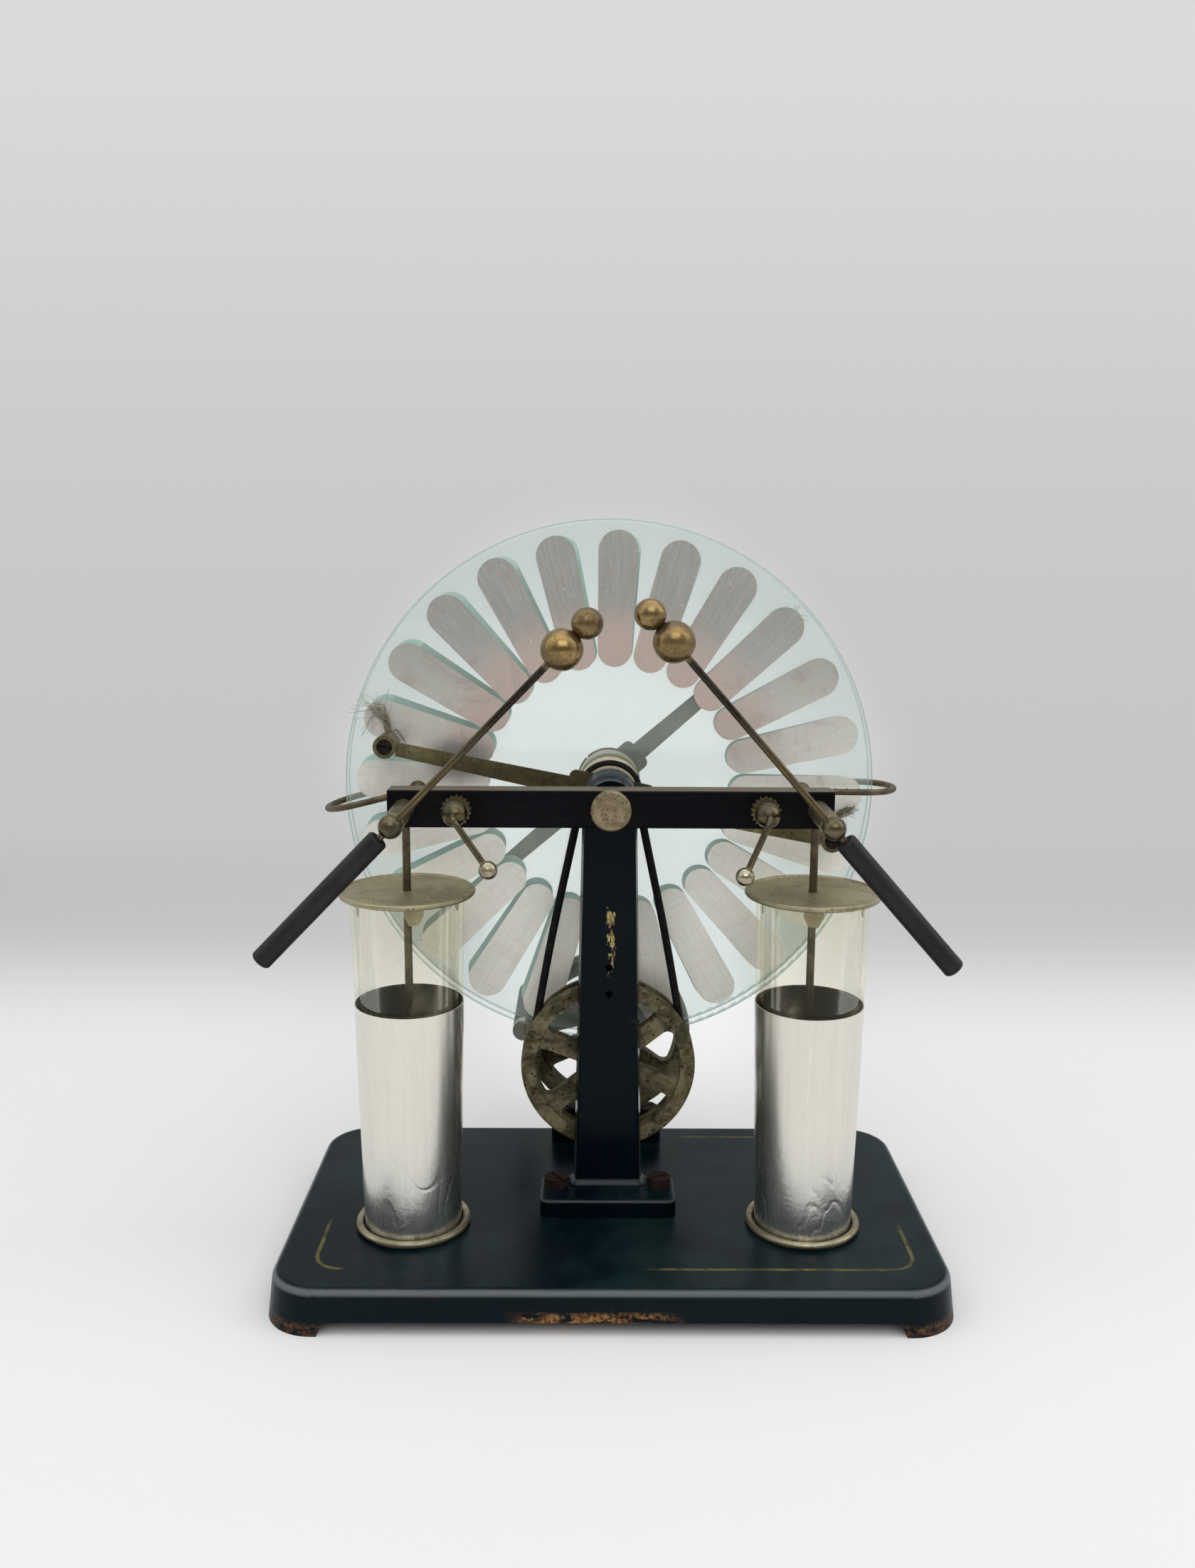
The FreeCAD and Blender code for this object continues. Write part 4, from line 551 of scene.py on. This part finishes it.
special = {
    "ballBrass": oldBrass("ballBrass", (0.33, 0.225, 0.090), (0.095, 0.066, 0.032), 0.50, 0.15, 1.4,
                          dullRod),
    "wireBrass": oldBrass("wireBrass", (0.17, 0.135, 0.078), (0.058, 0.045, 0.027), 0.6, 0.30, 1.6),
    "paleBrass": oldBrass("paleBrass", (0.37, 0.33, 0.22), (0.18, 0.155, 0.095), 0.4, 0.26, 1.2),
    "silverBall": oldBrass("silverBall", (0.44, 0.39, 0.27), (0.17, 0.135, 0.08), 0.4, 0.16, 1.8, dullKnob),
    "clampBrass": oldBrass("clampBrass", (0.36, 0.295, 0.185), (0.14, 0.105, 0.055), 0.5, 0.34, 2.0, None,
                           0.6),
    "darkScrew": rustySteel("darkScrew", (0.008, 0.008, 0.006), (0.028, 0.025, 0.018)),
    "innerFoil": innerFoil("innerFoil"),
    "rearFoil": foilSectors("rearFoil", behindGlass=True),
    "handleEbonite": darkPlastic("handleEbonite", (0.011, 0.010, 0.012), (0.022, 0.019, 0.020), 0.34),
    "darkHair": brushWire("darkHair", (0.030, 0.024, 0.018)),
}
nodeFinish = {"left_inner_coating": "innerFoil", "right_inner_coating": "innerFoil",
              "left_ring": "paleBrass", "right_ring": "paleBrass", "left_contact_arm": "silverBall",
              "right_contact_arm": "silverBall",
              "left_electrode": "ballBrass", "right_electrode": "ballBrass", "left_handle": "handleEbonite",
              "right_handle": "handleEbonite", "left_fork": "wireBrass", "right_fork": "wireBrass",
              "left_jar_rod": "wireBrass", "right_jar_rod": "wireBrass", "rear_sectors": "rearFoil",
              "bar_clamp_screw": "clampBrass", "front_brush_screws": "darkScrew",
              "rear_brush_screws": "darkScrew"}


def dressNodes():
    # every solid of the frame gets its finish
    slotOf = {part["node"]: part["material_slot"] for part in frame["record"]["subparts"]}
    for name, obj in nodes.items():
        finish = special[nodeFinish[name]] if name in nodeFinish else finishes[slotOf[name]]
        obj.data.materials.clear()
        obj.data.materials.append(finish)


dressNodes()
print("finishes on", len(nodes), "solids")


# Mesh helpers

def addPiece(name, mesh, body, finish):
    obj = bpy.data.objects.new(name, mesh)
    bpy.context.scene.collection.objects.link(obj)
    mesh.materials.append(finish)
    for face in mesh.polygons:
        face.use_smooth = True
    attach(obj, body)
    return obj


def tubeAlong(bm, points, radii, sides, closed=False):
    # rings of vertices carried along a line of points without twisting
    count = len(points)
    rings = []
    side = None
    for i, point in enumerate(points):
        before = points[i - 1] if closed or i else point
        after = points[(i + 1) % count] if closed or i < count - 1 else point
        ahead = (after - before).normalized()
        if side is None:
            side = ahead.orthogonal().normalized()
        side = (side - ahead * side.dot(ahead)).normalized()
        up = ahead.cross(side)
        radius = radii[i] if isinstance(radii, list) else radii
        rings.append([bm.verts.new(point + (side * math.cos(2 * math.pi * k / sides)
                                            + up * math.sin(2 * math.pi * k / sides)) * radius)
                      for k in range(sides)])
    for i in range(count if closed else count - 1):
        first, second = rings[i], rings[(i + 1) % count]
        for k in range(sides):
            bm.faces.new((first[k], first[(k + 1) % sides], second[(k + 1) % sides], second[k]))
    if not closed:
        bm.faces.new(rings[0][::-1])
        bm.faces.new(rings[-1])


def meshFrom(name, bm):
    mesh = bpy.data.meshes.new(name)
    bmesh.ops.recalc_face_normals(bm, faces=bm.faces)
    bm.to_mesh(mesh)
    bm.free()
    return mesh


# Belts and brushes

beltShape = {"thick": 0.0019, "onPulley": 0.0134, "onWheel": 0.0402, "pulleyHeight": axleHeight,
             "wheelHeight": 0.084, "plane": 0.020, "cross": 0.0022, "pulleyLead": 0.010, "wheelLead": 0.016,
             "bow": 0.0009, "joint": 135.6, "jointGap": 0.0008, "sides": 16}


def arcPoints(height, radius, start, finish, plane, count):
    # points round a pulley, from one angle to the other, in radians from the right
    steps = [start + (finish - start) * i / count for i in range(count + 1)]
    return [Vector((radius * math.cos(t), plane, height + radius * math.sin(t))) for t in steps]


def strandPoints(start, finish, shape, count=26):
    # a strand between its two ends; shape gives its sideways shift at each fraction of the way
    return [start.lerp(finish, i / count) + shape(i / count) for i in range(1, count)]


def openBelt(plane):
    b = beltShape
    lean = math.asin((b["onWheel"] - b["onPulley"]) / (b["pulleyHeight"] - b["wheelHeight"]))
    over = arcPoints(b["pulleyHeight"], b["onPulley"], -lean, math.pi + lean, plane, 30)
    under = arcPoints(b["wheelHeight"], b["onWheel"], math.pi + lean, 2 * math.pi - lean, plane, 44)

    def bowed(side):
        return lambda t: Vector((side * b["bow"] * math.sin(math.pi * t) ** 2, 0, 0))
    down = strandPoints(over[-1], under[0], bowed(-1))
    up = strandPoints(under[-1], over[0], bowed(1))
    return over + down + under + up


def crossedBelt(plane):
    b = beltShape
    small, large = b["onPulley"], b["onWheel"]
    lean = math.asin((large + small) / (b["pulleyHeight"] - b["wheelHeight"]))
    joint, half = math.radians(b["joint"]), b["jointGap"] / 2 / small
    first = arcPoints(b["pulleyHeight"], small, joint + half, math.pi + lean, plane, 16)
    last = arcPoints(b["pulleyHeight"], small, -lean, joint - half, plane, 30)
    under = arcPoints(b["wheelHeight"], large, lean, -math.pi - lean, plane, 60)
    length = (under[0] - first[-1]).length
    middle, lead, tail = small / (small + large), b["pulleyLead"] / length, 1 - b["wheelLead"] / length

    def aside(side, reverse=False):
        def shift(t):
            t = 1 - t if reverse else t
            rise = (t - lead) / (middle - lead) if t < middle else (tail - t) / (tail - middle)
            rise = max(0, min(1, rise))
            return Vector((0, side * b["cross"] * rise * rise * (3 - 2 * rise), 0))
        return shift
    down = strandPoints(first[-1], under[0], aside(1), 48)
    up = strandPoints(under[-1], last[0], aside(-1, True), 48)
    return first + down + under + up + last


def buildBelts():
    for end, points, closed in (("front", openBelt(-beltShape["plane"]), True),
                                ("rear", crossedBelt(beltShape["plane"]), False)):
        bm = bmesh.new()
        radii = [beltShape["thick"] * (1 - 0.025 * random.random()) for point in points]
        tubeAlong(bm, points, radii, beltShape["sides"], closed)
        belt = addPiece(end + "_leather_belt", meshFrom(end + "Belt", bm), "frame",
                        finishes["belt_leather"])
        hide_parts(end + "_belt")


# Each tuft is rooted in its holder. Its wires run towards the plate and spread over it without touching it.
tufts = {
    "front": {"body": "front_neutralizer", "node": "front_brushes", "toPlate": 1, "bunches": [
        {"root": (-0.1031, 0.2365), "way": [(-0.1042, 0.2445), (-0.1068, 0.2500), (-0.1128, 0.2550)],
         "spread": 0.0034, "wires": 34,
         "ends": [(-0.1162, 0.2538), (-0.1180, 0.2509), (-0.1186, 0.2492), (-0.1135, 0.2611),
                  (-0.1150, 0.2556), (-0.1156, 0.2430), (-0.1125, 0.2384), (-0.1100, 0.2600),
                  (-0.1060, 0.2585)],
         "dark": [[(-0.1010, 0.2425), (-0.0985, 0.2405), (-0.0955, 0.2362)]]},
        {"root": (0.1031, 0.1935), "way": [(0.1062, 0.2000), (0.1105, 0.2032), (0.1150, 0.2052)],
         "spread": 0.0018, "wires": 40,
         "ends": [(0.1178, 0.2062), (0.1184, 0.2044), (0.1171, 0.2024), (0.1138, 0.2005), (0.1102, 0.1982)],
         "dark": [[(0.1060, 0.2000), (0.1095, 0.2024), (0.1170, 0.2062)],
                  [(0.1065, 0.2002), (0.1120, 0.2044), (0.1164, 0.2066)],
                  [(0.1058, 0.2006), (0.1105, 0.2050), (0.1144, 0.2064)],
                  [(0.1060, 0.1996), (0.1120, 0.2026), (0.1180, 0.2050)]]}]},
    "rear": {"body": "rear_neutralizer", "node": "rear_brushes", "toPlate": -1, "bunches": [
        {"root": (-0.0795, 0.1459), "way": [(-0.0830, 0.1400), (-0.0855, 0.1355), (-0.0880, 0.1310)],
         "spread": 0.0018, "wires": 30,
         "ends": [(-0.0925, 0.1345), (-0.0850, 0.1290), (-0.0905, 0.1390), (-0.0810, 0.1310)], "dark": []},
        {"root": (0.0795, 0.2841), "way": [(0.0830, 0.2895), (0.0858, 0.2945), (0.0880, 0.2985)],
         "spread": 0.0018, "wires": 30,
         "ends": [(0.0925, 0.2955), (0.0850, 0.3010), (0.0905, 0.2915), (0.0815, 0.2985)], "dark": []}]},
}
wire = {"thick": 0.00012, "holderEnd": 0.0121, "nearPlate": 0.0066, "sides": 5, "rootRadius": 0.0026,
        "points": 14, "stubs": 60, "inHolder": 0.0006, "onPlate": 0.0062, "stubSpread": 1.3}


def wirePoints(corners):
    # a smooth curve through a few corners
    count = wire["points"]
    found = []
    for i in range(count + 1):
        t = i / count * (len(corners) - 1)
        k = min(int(t), len(corners) - 2)
        t -= k
        before, start = corners[max(k - 1, 0)], corners[k]
        finish, after = corners[k + 1], corners[min(k + 2, len(corners) - 1)]
        found.append(0.5 * (2 * start + (finish - before) * t
                            + (2 * before - 5 * start + 4 * finish - after) * t * t
                            + (3 * start - before - 3 * finish + after) * t ** 3))
    return found


def tuftWires(bunch, toPlate):
    # every wire of one tuft as a list of points, with those of the dark hairs apart
    rootX, rootZ = bunch["root"]
    plain, dark = [], []

    def oneWire(way, spread):
        angle, out = random.uniform(0, 2 * math.pi), wire["rootRadius"] * math.sqrt(random.random())
        startX, startZ = rootX + out * math.cos(angle), rootZ + out * math.sin(angle)
        low = wire["nearPlate"] + random.uniform(0.0002, 0.0022)
        corners = [Vector((startX, -toPlate * (wire["holderEnd"] + wire["inHolder"]), startZ)),
                   Vector((startX, -toPlate * (low + wire["holderEnd"]) / 2, startZ))]
        for step, (x, z) in enumerate(way):
            loose = spread * (0.5 + 0.5 * step)
            offX, offZ = random.uniform(-loose, loose), random.uniform(-loose, loose)
            corners.append(Vector((x + offX, -toPlate * low, z + offZ)))
        return wirePoints(corners)

    for count in range(bunch["wires"]):
        way = list(bunch["way"])
        if count % 2:
            way = way[:2] + [random.choice(bunch["ends"])]
        plain.append(oneWire(way, bunch["spread"]))
    for way in bunch["dark"]:
        dark += [oneWire(way, 0.0005) for count in range(3)]
    # short stiff wires that touch the plate's foil, where the solid brush is
    for count in range(wire["stubs"]):
        angle, out = random.uniform(0, 2 * math.pi), wire["rootRadius"] * math.sqrt(random.random())
        offX, offZ = out * math.cos(angle), out * math.sin(angle)
        start = Vector((rootX + offX, -toPlate * (wire["holderEnd"] + wire["inHolder"]), rootZ + offZ))
        end = Vector((rootX + offX * wire["stubSpread"], -toPlate * wire["onPlate"],
                      rootZ + offZ * wire["stubSpread"]))
        plain.append([start.lerp(end, i / 3) for i in range(4)])
    return plain, dark


def buildTufts():
    for end, tuft in tufts.items():
        for kind in ("plain", "dark"):
            bm = bmesh.new()
            for bunch in tuft["bunches"]:
                random.seed(len(end) * 100 + int(abs(bunch["root"][0]) * 1e5))
                for points in tuftWires(bunch, tuft["toPlate"])[kind == "dark"]:
                    thin = [wire["thick"] * (1 - 0.45 * i / len(points)) for i in range(len(points))]
                    tubeAlong(bm, points, thin, wire["sides"])
            if not bm.verts:
                bm.free()
                continue
            finish = special["darkHair"] if kind == "dark" else finishes["bristles"]
            mesh = meshFrom(end + kind, bm)
            piece = addPiece(f"{end}_{kind}_wires", mesh, tuft["body"], finish)
            if kind == "plain":
                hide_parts(tuft["node"])


buildBelts()
buildTufts()
print("belts and brushes ready")


# Room and light

room = {"near": 0.80, "far": 0.57, "fadeFrom": 0.20, "fadeTo": 0.52, "cove": 0.5, "back": 1.6, "size": 6.0,
        "levels": ((0.0, 0.560), (0.23, 0.572), (0.53, 0.600), (1.10, 0.700))}
pool = {"middle": 0.02, "below": 0.064, "across": 5.67, "up": 4.94, "from": 0.42, "to": 1.16, "gain": 0.30}


def sheetPaint():
    # one pale sheet: real floor near the machine, and behind it a tone that the eye, gloss and glass see
    paint = Paint("sheet")
    x, y, z = paint.xyz()
    rays = paint.node("ShaderNodeLightPath")
    seen = rays.output("Is Camera Ray") + rays.output("Is Glossy Ray")
    seen = (seen + rays.output("Is Transmission Ray")).least(1)
    fade = y.between(room["fadeFrom"], room["fadeTo"])
    tone = paint.blend((room["near"],) * 3, (room["far"],) * 3, fade)
    # a pale pool of light on the sheet behind the machine
    aside = abs(x - pool["middle"])
    wide = aside / (0.05 + 0.27 * y.most(0.1))
    up = z + pool["below"]
    tall = (aside * aside * pool["across"] + up * up * pool["up"]) ** 0.5
    lit = 1 - wide.most(tall).between(pool["from"], pool["to"])
    # painted light: the tone shown behind the machine grows brighter with height, by the levels listed in
    # room
    rise = room["levels"][0][1]
    for (low, lowTone), (high, highTone) in zip(room["levels"], room["levels"][1:]):
        part = paint.node("ShaderNodeMapRange", {}, {"Value": z, "From Min": low, "From Max": high,
                                                     "To Min": 0.0, "To Max": highTone - lowTone})
        rise = part + rise
    rise = rise + lit * pool["gain"] + 0.005
    tone = paint.blend(tone, (0.93, 0.93, 0.93), lit * y.between(0.0, 0.25))
    floor = paint.surface(colour=tone, rough=0.9, specular=0.1)
    shown = paint.node("ShaderNodeEmission", {}, {"Color": paint.blend((0, 0, 0), (1.0, 1.0, 1.005), rise)})
    return paint.done(paint.mixShaders(floor, shown, seen * y.between(0.55, 0.95)))


def buildRoom():
    size, cove, back = room["size"], room["cove"], room["back"]
    profile = [(-size, 0.0), (-1.0, 0.0), (0.0, 0.0), (0.5, 0.0)]
    profile += [(back - cove + cove * math.sin(t), cove - cove * math.cos(t))
                for t in [math.pi / 2 * i / 24 for i in range(25)]]
    profile.append((back, size))
    bm = bmesh.new()
    rows = [[bm.verts.new((side * size, y, z)) for side in (-1, 1)] for y, z in profile]
    for (a, b), (c, d) in zip(rows, rows[1:]):
        bm.faces.new((a, b, d, c))
    mesh = meshFrom("sheet", bm)
    mesh.materials.append(sheetPaint())
    for face in mesh.polygons:
        face.use_smooth = True
    obj = bpy.data.objects.new("sheet", mesh)
    bpy.context.scene.collection.objects.link(obj)


def addLamp(name, place, aim, size, power, tint=(1, 1, 1)):
    data = bpy.data.lights.new(name, "AREA")
    data.shape = "RECTANGLE"
    data.size, data.size_y = size
    data.energy = power
    data.color = tint
    obj = bpy.data.objects.new(name, data)
    obj.location = place
    obj.rotation_euler = (Vector(aim) - Vector(place)).to_track_quat("-Z", "Y").to_euler()
    bpy.context.scene.collection.objects.link(obj)


sky = {"top": 0.92, "side": 0.90, "front": 0.22, "shown": 0.62, "strength": 0.95}


def lightRoom():
    # the sky is bright above and dim on the side of the person who looks at the machine
    world = bpy.data.worlds.new("world")
    bpy.context.scene.world = world
    paint = Paint("world", world)
    x, y, z = paint.xyz(paint.coords)
    level = (sky["front"] + (sky["side"] - sky["front"]) * y.between(-0.9, 0.1)).most(0)
    level = level + (sky["top"] - level) * z.between(0.15, 0.85)
    seen = paint.node("ShaderNodeLightPath").output("Is Camera Ray")
    tone = paint.blend((0, 0, 0), (1.0, 1.0, 1.01), level.most(seen * sky["shown"]))
    back = paint.node("ShaderNodeBackground", {}, {"Color": tone, "Strength": sky["strength"]})
    paint.done(back, "ShaderNodeOutputWorld")
    addLamp("ceiling", (0, -0.1, 1.8), (0, 0, 0.1), (2.4, 1.8), 11)
    addLamp("frontTop", (0.15, -1.6, 1.5), (0, 0, 0.15), (1.6, 1.0), 9.5)
    addLamp("leftWindow", (-1.4, -0.4, 1.2), (0, 0, 0.15), (1.2, 1.2), 2.5, (1, 0.99, 0.97))
    addLamp("rightWindow", (1.5, -0.2, 1.2), (0, 0, 0.1), (1.2, 1.2), 4.5, (0.98, 0.99, 1))


buildRoom()
lightRoom()
bpy.context.scene.view_settings.view_transform = "Standard"
print("room and lamps ready")
